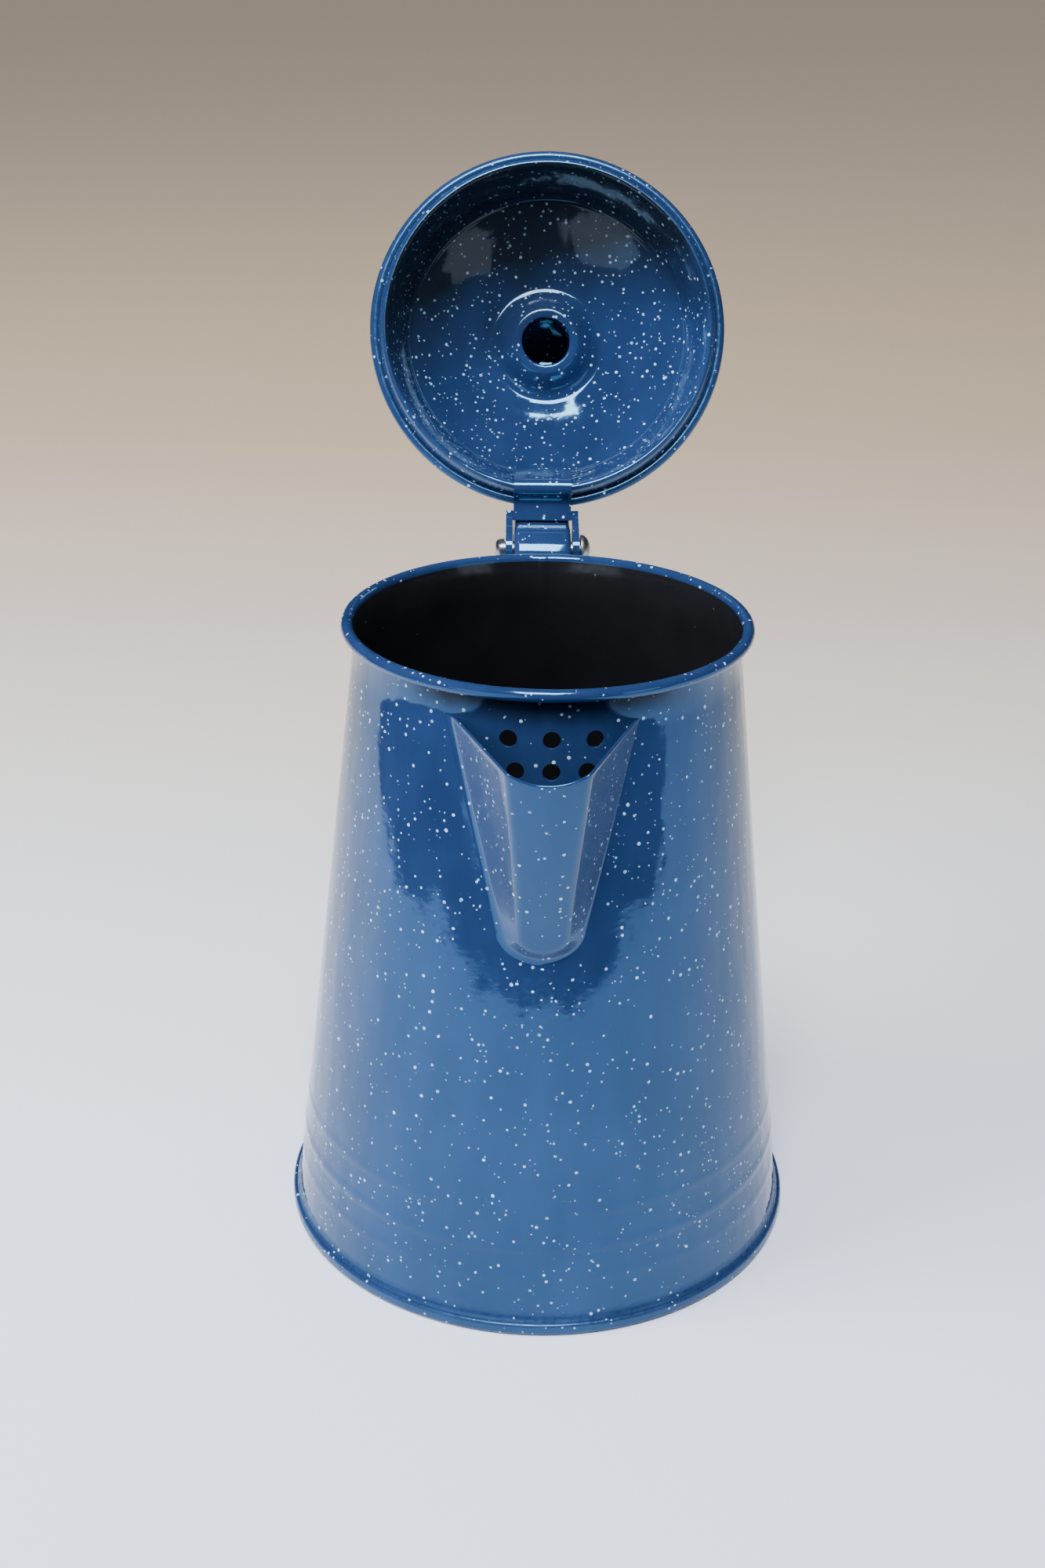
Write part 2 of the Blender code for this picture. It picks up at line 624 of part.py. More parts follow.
def main():
    clear_scene()
    blue = make_material("blue_enamel", ENAMEL_BLUE, 0.12)
    inside = make_material("black_enamel", ENAMEL_BLACK, 0.15)
    steel = make_material("bright_steel", STEEL, 0.3, 1.0)
    make_body(blue)
    make_rim_wire(steel)
    make_bottom_plate(inside)
    make_spout(blue)
    make_handle(blue)
    make_hinge_pin(steel)
    make_lid(blue)
    make_knob(blue)
    make_lid_strap(blue)


main()
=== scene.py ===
"""The coffee pot's looks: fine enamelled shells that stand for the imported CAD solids, in the same frame.

Metres, +Z up, spout to -Y, hinge and handle to +Y. Lid parts are drawn shut, then turned open about the pin.
"""

import json
from math import cos, hypot, pi, radians, sin, sqrt

import bmesh
import bpy
import numpy as np
from mathutils import Matrix, Vector


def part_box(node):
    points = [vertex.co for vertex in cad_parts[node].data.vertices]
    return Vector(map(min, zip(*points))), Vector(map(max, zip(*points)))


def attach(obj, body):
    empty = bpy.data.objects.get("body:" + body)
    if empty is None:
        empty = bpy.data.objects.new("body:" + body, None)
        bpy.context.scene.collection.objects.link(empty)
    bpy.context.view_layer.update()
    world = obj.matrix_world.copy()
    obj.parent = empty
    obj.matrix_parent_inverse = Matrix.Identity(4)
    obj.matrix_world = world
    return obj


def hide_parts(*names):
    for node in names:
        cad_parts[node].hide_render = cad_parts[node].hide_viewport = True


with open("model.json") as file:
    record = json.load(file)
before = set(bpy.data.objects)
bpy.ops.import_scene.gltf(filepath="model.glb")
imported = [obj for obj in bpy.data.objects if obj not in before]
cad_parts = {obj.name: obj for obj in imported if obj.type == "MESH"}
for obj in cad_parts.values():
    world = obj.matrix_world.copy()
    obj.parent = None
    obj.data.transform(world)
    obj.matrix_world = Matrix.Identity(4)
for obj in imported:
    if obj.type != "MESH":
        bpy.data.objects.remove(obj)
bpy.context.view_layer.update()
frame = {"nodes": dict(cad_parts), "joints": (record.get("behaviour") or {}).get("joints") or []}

MM = 0.001
SHEET = 0.8 * MM

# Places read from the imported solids.
PIN = Vector(frame["joints"][0]["pos_m"])
LID_OPEN_ANGLE = radians(113.5)
SEAM_RADIUS, _, SEAM_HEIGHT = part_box("bottom_plate")[1]
RIM_TOP_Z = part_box("body")[1].z
WIRE_LOW, WIRE_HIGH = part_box("rim_wire")
WIRE_RADIUS = 0.5 * MM
RIM_RADIUS = WIRE_HIGH.x - WIRE_RADIUS
RIM_Z = WIRE_HIGH.z - WIRE_RADIUS * sin(radians(60))
RIM_ROLL = RIM_TOP_Z - RIM_Z + 0.03 * MM
PIN_REACH_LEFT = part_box("hinge_pin")[0].x
PIN_REACH_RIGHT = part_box("hinge_pin")[1].x
SPOUT_X = -1.4 * MM
SPOUT_TOP_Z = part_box("spout")[1].z - 0.16 * MM
HANDLE_BACK_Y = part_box("handle")[1].y
HANDLE_TOP_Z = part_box("handle")[1].z
HANDLE_HALF_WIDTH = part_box("handle")[1].x

# Body: a cone with three soft ribs.
WALL_TOP_RADIUS = 50.44 * MM
WALL_TOP_Z = 172.93 * MM
WALL_FOOT_RADIUS = 69.94 * MM
WALL_FOOT_Z = 2.93 * MM
RIB_HEIGHTS = (16.3 * MM, 25.3 * MM, 35.6 * MM)
RIB_HALF_WIDTH = 2.6 * MM
RIB_DEPTHS = (0.12 * MM, 0.25 * MM, 0.16 * MM)
FLANGE_RADIUS = 70.7 * MM
FLANGE_Z = 1.75 * MM
FOOT_FILLET = 2.2 * MM
SEAM_FILLET_Z = 6.2 * MM
HOLE_RADIUS = 2.2 * MM
HOLE_ROWS = (
    (163.0 * MM, 3, 10.6 * MM),
    (155.0 * MM, 3, 8.8 * MM),
    (147.0 * MM, 3, 7.0 * MM),
    (139.0 * MM, 2, 6.0 * MM),
)
BODY_STEPS = 288
RIM_JOINT_HALF = 0.9 * MM
RIM_JOINT_DEPTH = 0.35 * MM

# Spout: a front panel between two sides, all of one folded sheet.
SPOUT_CORNER_DROP = 2.3 * MM
SPOUT_LIP_DIP = 2.8 * MM
SPOUT_OUTER_ARC_Z = 114.0 * MM
SPOUT_OUTER_ARC_DROP = 7.7 * MM
SPOUT_OUTER_HALF = (22.9 * MM, 10.7 * MM)
SPOUT_PANEL_ARC_Z = 113.7 * MM
SPOUT_PANEL_ARC_DROP = 4.3 * MM
SPOUT_PANEL_HALF = (9.9 * MM, 5.7 * MM)
SPOUT_PANEL_FOOT_Z = 106.0 * MM
SPOUT_PANEL_FOOT_OUT = 1.2 * MM
SPOUT_PANEL_LEAN = 0.272
SPOUT_PANEL_BULGE = 1.6 * MM
SPOUT_BULGE_RUN = 26 * MM
SPOUT_FILLET = 1.3 * MM
SPOUT_BEND = 1.3 * MM
SPOUT_EMBED = 0.35 * MM
SPOUT_LEG_STEPS = 36
SPOUT_ARC_STEPS = 20
SPOUT_FILLET_STEPS = 5
SPOUT_SIDE_STEPS = 8
SPOUT_BEND_STEPS = 6
SPOUT_PANEL_STEPS = 16
LIP_STEPS = 6

# Handle: channel-section strap with a bend that stands between the strap's ears.
HANDLE_SHEET = 1.0 * MM
HANDLE_FLANGE = 5.0 * MM
HANDLE_END_FLANGE = 1.7 * MM
HANDLE_GAP = 0.3 * MM
HANDLE_TOP_TAB_Z = 152.0 * MM
HANDLE_BEND_Y = 66.5 * MM
HANDLE_BEND_RADIUS = 9.5 * MM
HANDLE_TOP_CORNER = 20.0 * MM
HANDLE_HEEL = (87.0 * MM, 89.0 * MM)
HANDLE_LOW_TAB_Z = 70.0 * MM
HANDLE_TAB_LENGTH = 7.5 * MM
BOSS_RADIUS = 4.6 * MM

# Rivet through the ears.
PIN_RADIUS = 2.1 * MM
PIN_HOLE_RADIUS = 2.4 * MM
PIN_HEAD_RADIUS = 4.2 * MM
PIN_HEAD_HEIGHT = 2.9 * MM
PIN_RIVET_RADIUS = 2.9 * MM
PIN_RIVET_HEIGHT = 2.6 * MM

# Lid, drawn shut: heights are above the lowest edge of its V-shaped rim.
LID_X = 1.2 * MM
LID_BASE_Z = 173.7 * MM
LID_FOLD_RADIUS = 47.4 * MM
LID_BEAD_RADIUS = 50.5 * MM
LID_BEAD_Z = 5.7 * MM
LID_BEAD_ROLL = 1.5 * MM
LID_SHOULDER = (40.9 * MM, 16.3 * MM)
LID_CREST = (15.6 * MM, 26.9 * MM)
LID_DOME_RISE = 1.6 * MM
LID_SEAT_Z = 22.2 * MM
LID_COLLAR_RADIUS = 7.55 * MM
LID_COLLAR_TOP_Z = 29.4 * MM
LID_COLLAR_FLARE = (8.45 * MM, 31.0 * MM)
LID_STEPS = 256
# Painted shade on the open lid's inside: its slant across, and the heights where it begins and where it is
# full.
LID_SHADE_SLANT = 0.27
LID_SHADE_Z = (221 * MM, 247 * MM)

KNOB_NECK_RADIUS = 8.6 * MM
KNOB_NECK_FOOT_Z = 23.5 * MM
KNOB_NECK_TOP_Z = 29.0 * MM
KNOB_SHEET = 0.7 * MM
KNOB_HEAD_RADIUS = 15.0 * MM
KNOB_HEAD_Z = 38.5 * MM
KNOB_HEAD_RISE = 8.5 * MM
KNOB_STEPS = 128

# Lid strap, drawn shut.
STRAP_HALF_WIDTH = 8.4 * MM
STRAP_SHOULDER_HALF = 9.9 * MM
STRAP_CORNER = 3.2 * MM
STRAP_OVER_RIM_Z = 177.2 * MM
STRAP_REAR_Y = 56.2 * MM
EAR_INNER_X = 8.6 * MM
EAR_SHEET = 1.95 * MM
EAR_SPLAY = 0.15 * MM
EAR_END_RADIUS = 4.8 * MM

GLAZE_IOR = 1.72
GLAZE_TINT = (0.25, 0.62, 1.0, 1.0)

# Stage. The floor's colours go by Y, and the room's greys by the height of the direction.
FLOOR_RAMP_Y = (-0.3, 6.5)
FLOOR_COLOURS = (
    (-0.3, (0.56, 0.61, 0.75)),
    (0.02, (0.65, 0.68, 0.80)),
    (0.14, (0.64, 0.63, 0.69)),
    (0.28, (0.59, 0.57, 0.54)),
    (0.5, (0.55, 0.45, 0.385)),
    (0.86, (0.53, 0.405, 0.28)),
    (1.3, (0.57, 0.43, 0.29)),
    (2.1, (0.59, 0.453, 0.325)),
    (6.4, (0.565, 0.433, 0.323)),
)
WORLD_GREYS = ((0.0, 0.10), (0.35, 0.2), (0.65, 0.8), (0.9, 0.8), (1.0, 0.5))
WORLD_STRENGTH = 1.1
ROOM_FENCE = (
    (-0.62, 0.24),
    (-0.42, -0.07),
    (-0.37, -0.25),
    (-0.15, -0.345),
    (0.016, -0.348),
    (0.287, -0.335),
    (0.439, -0.26),
    (0.85, -0.36),
)
ROOM_TOP_Z = 0.42

# Pale cards in front of the room, as (x, z) before they are brought nearer to the pot by a share.
RIGHT_CARD = (
    (0.27, 0.14),
    (0.40, 0.12),
    (0.48, 0.15),
    (0.60, 0.18),
    (0.58, 0.27),
    (0.38, 0.25),
    (0.28, 0.26),
)
LEFT_CARD = (
    (-0.06, 0.09),
    (-0.24, 0.08),
    (-0.40, 0.11),
    (-0.46, 0.19),
    (-0.36, 0.235),
    (-0.12, 0.22),
    (-0.07, 0.15),
)
CARD_Y = -0.37
CARD_NEARER = 0.6
CARD_GLOW = 0.8


# ---------------------------------------------------------------- outlines


def arc(centre, radius, start, end, steps):
    """Points on a circle from the start angle to the end angle, both in degrees."""
    angles = [radians(start + (end - start) * i / steps) for i in range(steps + 1)]
    return [(centre[0] + radius * cos(a), centre[1] + radius * sin(a)) for a in angles]


def bezier(corners, steps):
    """Points along a Bezier curve with any number of control points."""
    points = []
    for i in range(steps + 1):
        t = i / steps
        level = [np.array(c, float) for c in corners]
        while len(level) > 1:
            level = [a + (b - a) * t for a, b in zip(level, level[1:])]
        points.append(tuple(level[0]))
    return points


def rounded(path, radius, steps=5):
    """A path with each inner corner replaced by a smooth curve that starts this far before it."""
    points = [path[0]]
    for before, corner, after in zip(path, path[1:], path[2:]):
        one, here, two = (np.array(p, float) for p in (before, corner, after))
        reach_in = min(radius, np.linalg.norm(one - here) * 0.49)
        reach_out = min(radius, np.linalg.norm(two - here) * 0.49)
        start = here + (one - here) / np.linalg.norm(one - here) * reach_in
        end = here + (two - here) / np.linalg.norm(two - here) * reach_out
        points += bezier([start, here, end], steps)
    return points + [path[-1]]


def path_normals(path):
    """The left-hand normal at each point of a path in the plane, with its mitre length."""
    normals = []
    for i, (a, b) in enumerate(path):
        before = path[max(i - 1, 0)]
        after = path[min(i + 1, len(path) - 1)]
        first = (a - before[0], b - before[1]) if i else (after[0] - a, after[1] - b)
        second = (after[0] - a, after[1] - b) if i < len(path) - 1 else first
        one, two = hypot(*first), hypot(*second)
        total = (-first[1] / one - second[1] / two, first[0] / one + second[0] / two)
        scale = 2 / (total[0] ** 2 + total[1] ** 2)
        normals.append((total[0] * scale, total[1] * scale))
    return normals


def offset_path(path, distance):
    normals = path_normals(path)
    return [(p[0] + n[0] * distance, p[1] + n[1] * distance) for p, n in zip(path, normals)]


def end_cap(path, thickness, steps=5):
    """The half circle round a sheet's edge, where its middle line ends, from its left side to its right."""
    (a, b), (c, d) = path[-2], path[-1]
    along = np.array((c - a, d - b)) / hypot(c - a, d - b)
    left = np.array((-along[1], along[0]))
    half = thickness / 2
    angles = [pi * i / steps for i in range(1, steps)]
    return [tuple(np.array((c, d)) + left * half * cos(t) + along * half * sin(t)) for t in angles]


def sheet_outline(path, thickness):
    """The closed outline of a sheet with round edges, from its middle line: its left side, then its right."""
    left = offset_path(path, thickness / 2)
    right = offset_path(path, -thickness / 2)[::-1]
    return left + end_cap(path, thickness) + right + end_cap(path[::-1], thickness)


# ---------------------------------------------------------------- meshes


def make_object(name, mesh, materials, sharp_angle=50):
    mesh.shade_smooth()
    mesh.set_sharp_from_angle(angle=radians(sharp_angle))
    for material in materials:
        mesh.materials.append(material)
    obj = bpy.data.objects.new(name, mesh)
    bpy.context.scene.collection.objects.link(obj)
    return obj


def object_from_bmesh(name, bm, materials, sharp_angle=50):
    bmesh.ops.remove_doubles(bm, verts=bm.verts, dist=1e-7)
    bmesh.ops.dissolve_degenerate(bm, edges=bm.edges, dist=1e-8)
    bmesh.ops.recalc_face_normals(bm, faces=bm.faces)
    mesh = bpy.data.meshes.new(name)
    bm.to_mesh(mesh)
    bm.free()
    return make_object(name, mesh, materials, sharp_angle)


def add_grid(bm, rows, closed_across=False, closed_down=False, slot_of=None):
    """Faces over rows of points. slot_of(i) is the material slot of the faces that follow row i."""
    verts = [[bm.verts.new(p) for p in row] for row in rows]
    height, width = len(verts), len(verts[0])
    for i in range(height if closed_down else height - 1):
        for j in range(width if closed_across else width - 1):
            upper, lower = verts[i], verts[(i + 1) % height]
            k = (j + 1) % width
            face = bm.faces.new((upper[j], upper[k], lower[k], lower[j]))
            face.material_index = slot_of(i) if slot_of else 0
    return verts


def turned(name, outline, steps, materials, closed=True, slot_of=None, swell=None, axis_y=0.0):
    """A turned shape. swell(angle, radius, z) gives how far a point stands out of it."""
    bm = bmesh.new()
    rows = []
    for radius, z in outline:
        row = []
        for i in range(steps):
            angle = 2 * pi * i / steps
            r = radius + (swell(angle, radius, z) if swell else 0.0)
            row.append((r * cos(angle), axis_y + r * sin(angle), z))
        rows.append(row)
    add_grid(bm, rows, closed_across=True, closed_down=closed, slot_of=slot_of)
    return object_from_bmesh(name, bm, materials)


def lofted(name, sections, materials, sharp_angle=50):
    """A closed solid through sections that are loops of equally many points."""
    bm = bmesh.new()
    verts = add_grid(bm, sections, closed_across=True)
    bm.faces.new(verts[0])
    bm.faces.new(verts[-1])
    return object_from_bmesh(name, bm, materials, sharp_angle)


def disc(name, radius, depth, centre, axis, segments=48):
    bm = bmesh.new()
    turn = Vector((0, 0, 1)).rotation_difference(Vector(axis)).to_matrix().to_4x4()
    bmesh.ops.create_cone(
        bm, cap_ends=True, segments=segments, radius1=radius, radius2=radius, depth=depth,
        matrix=Matrix.Translation(centre) @ turn,
    )
    return object_from_bmesh(name, bm, [])


def settle(obj):
    """Makes the object's modifiers part of its mesh."""
    graph = bpy.context.evaluated_depsgraph_get()
    mesh = bpy.data.meshes.new_from_object(obj.evaluated_get(graph))
    obj.modifiers.clear()
    obj.data = mesh
    return obj


def combine(target, others, operation):
    """Joins shapes to the target or cuts them from it, and removes them."""
    for other in others:
        modifier = target.modifiers.new(other.name, "BOOLEAN")
        modifier.object = other
        modifier.operation = operation
    settle(target)
    target.data.shade_smooth()
    target.data.set_sharp_from_angle(angle=radians(40))
    for other in others:
        bpy.data.objects.remove(other)
    return target


def soften(obj, width, segments=3, angle=40):
    """Rounds the sheet's cut edges, as enamel does."""
    modifier = obj.modifiers.new("soft_edges", "BEVEL")
    modifier.width = width
    modifier.segments = segments
    modifier.limit_method = "ANGLE"
    modifier.angle_limit = radians(angle)
    modifier.harden_normals = True
    return settle(obj)


def open_lid(obj):
    """Turns a part that was drawn shut to where the open lid holds it."""
    turn = Matrix.Rotation(-LID_OPEN_ANGLE, 4, "X")
    obj.data.transform(Matrix.Translation(PIN) @ turn @ Matrix.Translation(-PIN))
    return obj


def place(obj, node, body):
    """The piece stands for this CAD node, on this body."""
    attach(obj, body)
    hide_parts(node)


# ---------------------------------------------------------------- materials


class Nodes:
    """Short names for building a material's nodes."""

    def __init__(self, name):
        self.material = bpy.data.materials.new(name)
        self.material.use_nodes = True
        self.tree = self.material.node_tree
        self.shader = self.tree.nodes["Principled BSDF"]
        self.place = self.add("ShaderNodeTexCoord").outputs["Object"]

    def add(self, kind, **settings):
        node = self.tree.nodes.new(kind)
        for key, value in settings.items():
            setattr(node, key, value)
        return node

    def link(self, value, socket):
        if isinstance(value, bpy.types.NodeSocket):
            self.tree.links.new(value, socket)
        else:
            socket.default_value = value

    def math(self, operation, one, two=0.0):
        node = self.add("ShaderNodeMath", operation=operation)
        self.link(one, node.inputs[0])
        self.link(two, node.inputs[1])
        return node.outputs[0]

    def remap(self, value, low, high, new_low=0.0, new_high=1.0):
        node = self.add("ShaderNodeMapRange")
        for socket, number in zip(node.inputs, (value, low, high, new_low, new_high)):
            self.link(number, socket)
        return node.outputs["Result"]

    def mix(self, factor, one, two):
        node = self.add("ShaderNodeMix", data_type="RGBA")
        self.link(factor, node.inputs["Factor"])
        self.link(one, node.inputs[6])
        self.link(two, node.inputs[7])
        return node.outputs[2]

    def stretched(self, scale):
        node = self.add("ShaderNodeMapping")
        self.link(self.place, node.inputs["Vector"])
        self.link(scale, node.inputs["Scale"])
        return node.outputs["Vector"]

    def noise(self, size, detail=2.0, vector=None, output="Fac"):
        """Noise with features about this long, in metres."""
        node = self.add("ShaderNodeTexNoise")
        self.link(vector or self.place, node.inputs["Vector"])
        self.link(1 / size, node.inputs["Scale"])
        self.link(detail, node.inputs["Detail"])
        return node.outputs[output]

    def wobbled(self, size, amount):
        """The place, shaken by noise of this size by this much."""
        shift = self.add("ShaderNodeVectorMath", operation="SUBTRACT")
        self.link(self.noise(size, 1.0, output="Color"), shift.inputs[0])
        self.link((0.5, 0.5, 0.5), shift.inputs[1])
        scaled = self.add("ShaderNodeVectorMath", operation="SCALE")
        self.link(shift.outputs[0], scaled.inputs[0])
        self.link(2 * amount, scaled.inputs["Scale"])
        moved = self.add("ShaderNodeVectorMath", operation="ADD")
        self.link(self.place, moved.inputs[0])
        self.link(scaled.outputs[0], moved.inputs[1])
        return moved.outputs[0]

    def bump(self, height, distance, strength=1.0, normal=None):
        node = self.add("ShaderNodeBump")
        self.link(height, node.inputs["Height"])
        self.link(distance, node.inputs["Distance"])
        self.link(strength, node.inputs["Strength"])
        if normal:
            self.link(normal, node.inputs["Normal"])
        return node.outputs["Normal"]


def flecks(n, vector, cell, radius, share, crowding):
    """Small blobs, one in a share of the cells: (mask from 0 to 1, a random number for each blob)."""
    cells = n.add("ShaderNodeTexVoronoi")
    n.link(vector, cells.inputs["Vector"])
    n.link(1 / cell, cells.inputs["Scale"])
    pick = n.add("ShaderNodeSeparateColor")
    n.link(cells.outputs["Color"], pick.inputs[0])
    size = n.remap(pick.outputs["Green"], 0.0, 1.0, radius * 0.6 / cell, radius * 1.25 / cell)
    inside = n.math("SUBTRACT", size, cells.outputs["Distance"])
    blob = n.remap(inside, -0.03 * MM / cell, 0.05 * MM / cell)
    limit = n.remap(crowding, 0.35, 0.65, share * 0.35, share * 1.65)
    chosen = n.math("LESS_THAN", pick.outputs["Red"], limit)
    return n.math("MULTIPLY", blob, chosen), pick.outputs["Blue"]


def painted_lid_shade(n):
    """Painted shade on the lid's inside: a mask, slanted across and with a wobbled edge, that darkens its
    upper half as it stands open.
    """
    split = n.add("ShaderNodeSeparateXYZ")
    n.link(n.wobbled(16 * MM, 9 * MM), split.inputs[0])
    slant = n.math("MULTIPLY", split.outputs["X"], LID_SHADE_SLANT)
    return n.remap(n.math("SUBTRACT", split.outputs["Z"], slant), *LID_SHADE_Z)


def rim_shade(n):
    """Painted shade in the crease under the rim at the front, between the spout's shoulders: a mask for
    darker colour and darker gloss there.
    """
    split = n.add("ShaderNodeSeparateXYZ")
    n.link(n.wobbled(5 * MM, 1.2 * MM), split.inputs[0])
    height = n.remap(split.outputs["Z"], 166.5 * MM, 172.0 * MM)
    aside = n.math("ABSOLUTE", n.math("SUBTRACT", split.outputs["X"], SPOUT_X))
    front = n.math("LESS_THAN", split.outputs["Y"], 0.0)
    below = n.math("LESS_THAN", split.outputs["Z"], RIM_Z - RIM_ROLL)
    beside = n.remap(aside, 26 * MM, 38 * MM, 1.0, 0.0)
    return n.math("MULTIPLY", n.math("MULTIPLY", height, beside), n.math("MULTIPLY", front, below))


def speckled_enamel(
    name, deep, light, fleck, fleck_share=0.4, wave=1.0, roughness=0.07,
    painted_shade_colour=None, shade_at=None, shade_gloss_tint=(0.3, 0.3, 0.32, 1),
):
    """Glassy enamel with white flecks fired into it, a slightly uneven coat and vertical runs."""
    n = Nodes(name)
    broad = n.noise(34 * MM, 3.0)
    runs = n.noise(9 * MM, 2.0, n.stretched((1.0, 1.0, 0.22)))
    coat = n.math("ADD", n.math("MULTIPLY", broad, 0.6), n.math("MULTIPLY", runs, 0.4))
    colour = n.mix(n.remap(coat, 0.36, 0.64), deep, light)
    crowding = n.noise(7 * MM, 2.0)
    shaken = n.wobbled(0.8 * MM, 0.16 * MM)
    large, tint = flecks(n, shaken, 2.0 * MM, 0.39 * MM, fleck_share, crowding)
    small, _ = flecks(n, shaken, 1.3 * MM, 0.22 * MM, fleck_share * 0.35, crowding)
    shade = n.remap(tint, 0.0, 1.0, 0.45, 1.0)
    mask = n.math("MAXIMUM", n.math("MULTIPLY", large, shade), n.math("MULTIPLY", small, 0.6))
    # Painted shade: where the given mask is high, the colour turns to the dark shade colour, the flecks fade
    # and the gloss turns darker and greyer.
    if painted_shade_colour:
        painted_shade = shade_at(n)
        colour = n.mix(painted_shade, colour, painted_shade_colour)
        mask = n.math("MULTIPLY", mask, n.remap(painted_shade, 0.0, 1.0, 1.0, 0.22))
        n.link(n.mix(painted_shade, GLAZE_TINT, shade_gloss_tint), n.shader.inputs["Specular Tint"])
    else:
        n.shader.inputs["Specular Tint"].default_value = GLAZE_TINT
    n.link(n.mix(mask, colour, fleck), n.shader.inputs["Base Color"])
    fine = n.noise(1.4 * MM, 3.0)
    n.link(n.remap(fine, 0.3, 0.7, roughness * 0.7, roughness * 1.5), n.shader.inputs["Roughness"])
    slow = n.bump(n.noise(9 * MM, 1.5, n.stretched((1.0, 1.0, 0.35))), 0.16 * MM * wave)
    skin = n.bump(n.noise(3.2 * MM, 2.0), 0.012 * MM * wave, normal=slow)
    n.link(n.bump(mask, 0.03 * MM, normal=skin), n.shader.inputs["Normal"])
    n.shader.inputs["IOR"].default_value = GLAZE_IOR
    return n.material


def black_enamel(name):
    """The pot's lining: black glaze with a faint orange-peel skin and a few pale pits."""
    n = Nodes(name)
    colour = n.mix(n.noise(18 * MM, 2.0), (0.004, 0.004, 0.005, 1), (0.009, 0.009, 0.011, 1))
    pits, _ = flecks(n, n.wobbled(1.0 * MM, 0.2 * MM), 4.5 * MM, 0.35 * MM, 0.25, n.noise(9 * MM))
    n.link(n.mix(n.math("MULTIPLY", pits, 0.3), colour, (0.2, 0.22, 0.24, 1)), n.shader.inputs["Base Color"])
    n.link(n.remap(n.noise(2 * MM, 3.0), 0.3, 0.7, 0.1, 0.22), n.shader.inputs["Roughness"])
    n.link(n.bump(n.noise(6 * MM, 2.0), 0.06 * MM), n.shader.inputs["Normal"])
    n.shader.inputs["Specular IOR Level"].default_value = 0.35
    return n.material


def bare_steel(name):
    """Tumbled steel: fine scratches, dull patches and a trace of grime."""
    n = Nodes(name)
    scratches = n.noise(0.6 * MM, 4.0, n.stretched((1.0, 0.15, 1.0)))
    grime = n.remap(n.noise(2.4 * MM, 4.0), 0.5, 0.75)
    clean = n.mix(scratches, (0.30, 0.31, 0.33, 1), (0.46, 0.47, 0.48, 1))
    n.link(n.mix(n.math("MULTIPLY", grime, 0.6), clean, (0.3, 0.26, 0.21, 1)), n.shader.inputs["Base Color"])
    n.link(n.remap(grime, 0.0, 1.0, 0.38, 0.6), n.shader.inputs["Roughness"])
    n.link(n.bump(scratches, 0.02 * MM), n.shader.inputs["Normal"])
    n.shader.inputs["Metallic"].default_value = 1.0
    return n.material


# ---------------------------------------------------------------- pot


def wall_radius(z):
    """The outer radius of the body's cone at a height, without its ribs."""
    slope = (WALL_TOP_RADIUS - WALL_FOOT_RADIUS) / (WALL_TOP_Z - WALL_FOOT_Z)
    return WALL_FOOT_RADIUS + slope * (z - WALL_FOOT_Z)


def rib_swell(z):
    """How far the ribs stand out of the cone at a height."""
    near, depth = min((abs(z - height), depth) for height, depth in zip(RIB_HEIGHTS, RIB_DEPTHS))
    return depth * (1 + cos(pi * near / RIB_HALF_WIDTH)) / 2 if near < RIB_HALF_WIDTH else 0.0


def wall_heights():
    heights = [7.0 * MM, 10.0 * MM]
    for rib in RIB_HEIGHTS:
        heights += [rib + RIB_HALF_WIDTH * (k / 6 - 1) for k in range(13)]
    top = 172.7 * MM
    rest = 44 * MM
    return sorted(heights) + [rest + (top - rest) * i / 14 for i in range(15)]


def body_path():
    """The middle line of the body's sheet, from the foot flange up to the rolled rim's end."""
    foot_r = wall_radius(FLANGE_Z) - SHEET / 2
    foot = [(FLANGE_RADIUS - SHEET / 2, FLANGE_Z), (foot_r, FLANGE_Z)]
    foot += [(wall_radius(7 * MM) - SHEET / 2, 7 * MM)]
    wall = [(wall_radius(z) + rib_swell(z) - SHEET / 2, z) for z in wall_heights()]
    roll = arc((RIM_RADIUS, RIM_Z), RIM_ROLL - SHEET / 2, 186, -128, 26)
    return rounded(foot, FOOT_FILLET * 0.3, 4)[:-1] + wall + roll


def rim_joint(angle, radius, z):
    """The small dip where the rolled rim's two ends meet, at the back."""
    if z < RIM_Z - 2 * RIM_ROLL or radius < WALL_TOP_RADIUS - SHEET:
        return 0.0
    across = (angle - pi / 2) * radius
    return -RIM_JOINT_DEPTH * np.exp(-((across / RIM_JOINT_HALF) ** 2))


def make_body(blue, black):
    path = body_path()
    outline = sheet_outline(path, SHEET)
    inner_top = WALL_TOP_Z + 0.4 * MM

    def lining(i):
        """The black lining covers the inner side of the sheet up to just below the rim."""
        radius, z = outline[i]
        return 1 if z < inner_top and radius < wall_radius(z) - SHEET / 2 else 0

    body = turned("pot_body", outline, BODY_STEPS, [blue, black], slot_of=lining, swell=rim_joint)
    punches = []
    for z, count, pitch in HOLE_ROWS:
        for i in range(count):
            turn = (i - (count - 1) / 2) * pitch / wall_radius(z)
            out = Vector((sin(turn), -cos(turn), 0))
            name = f"punch_{round(z / MM)}_{i}"
            centre = out * wall_radius(z) + Vector((0, 0, z))
            punches.append(disc(name, HOLE_RADIUS, 8 * SHEET, centre, out, 40))
    combine(body, punches, "DIFFERENCE")
    place(body, "body", "pot")


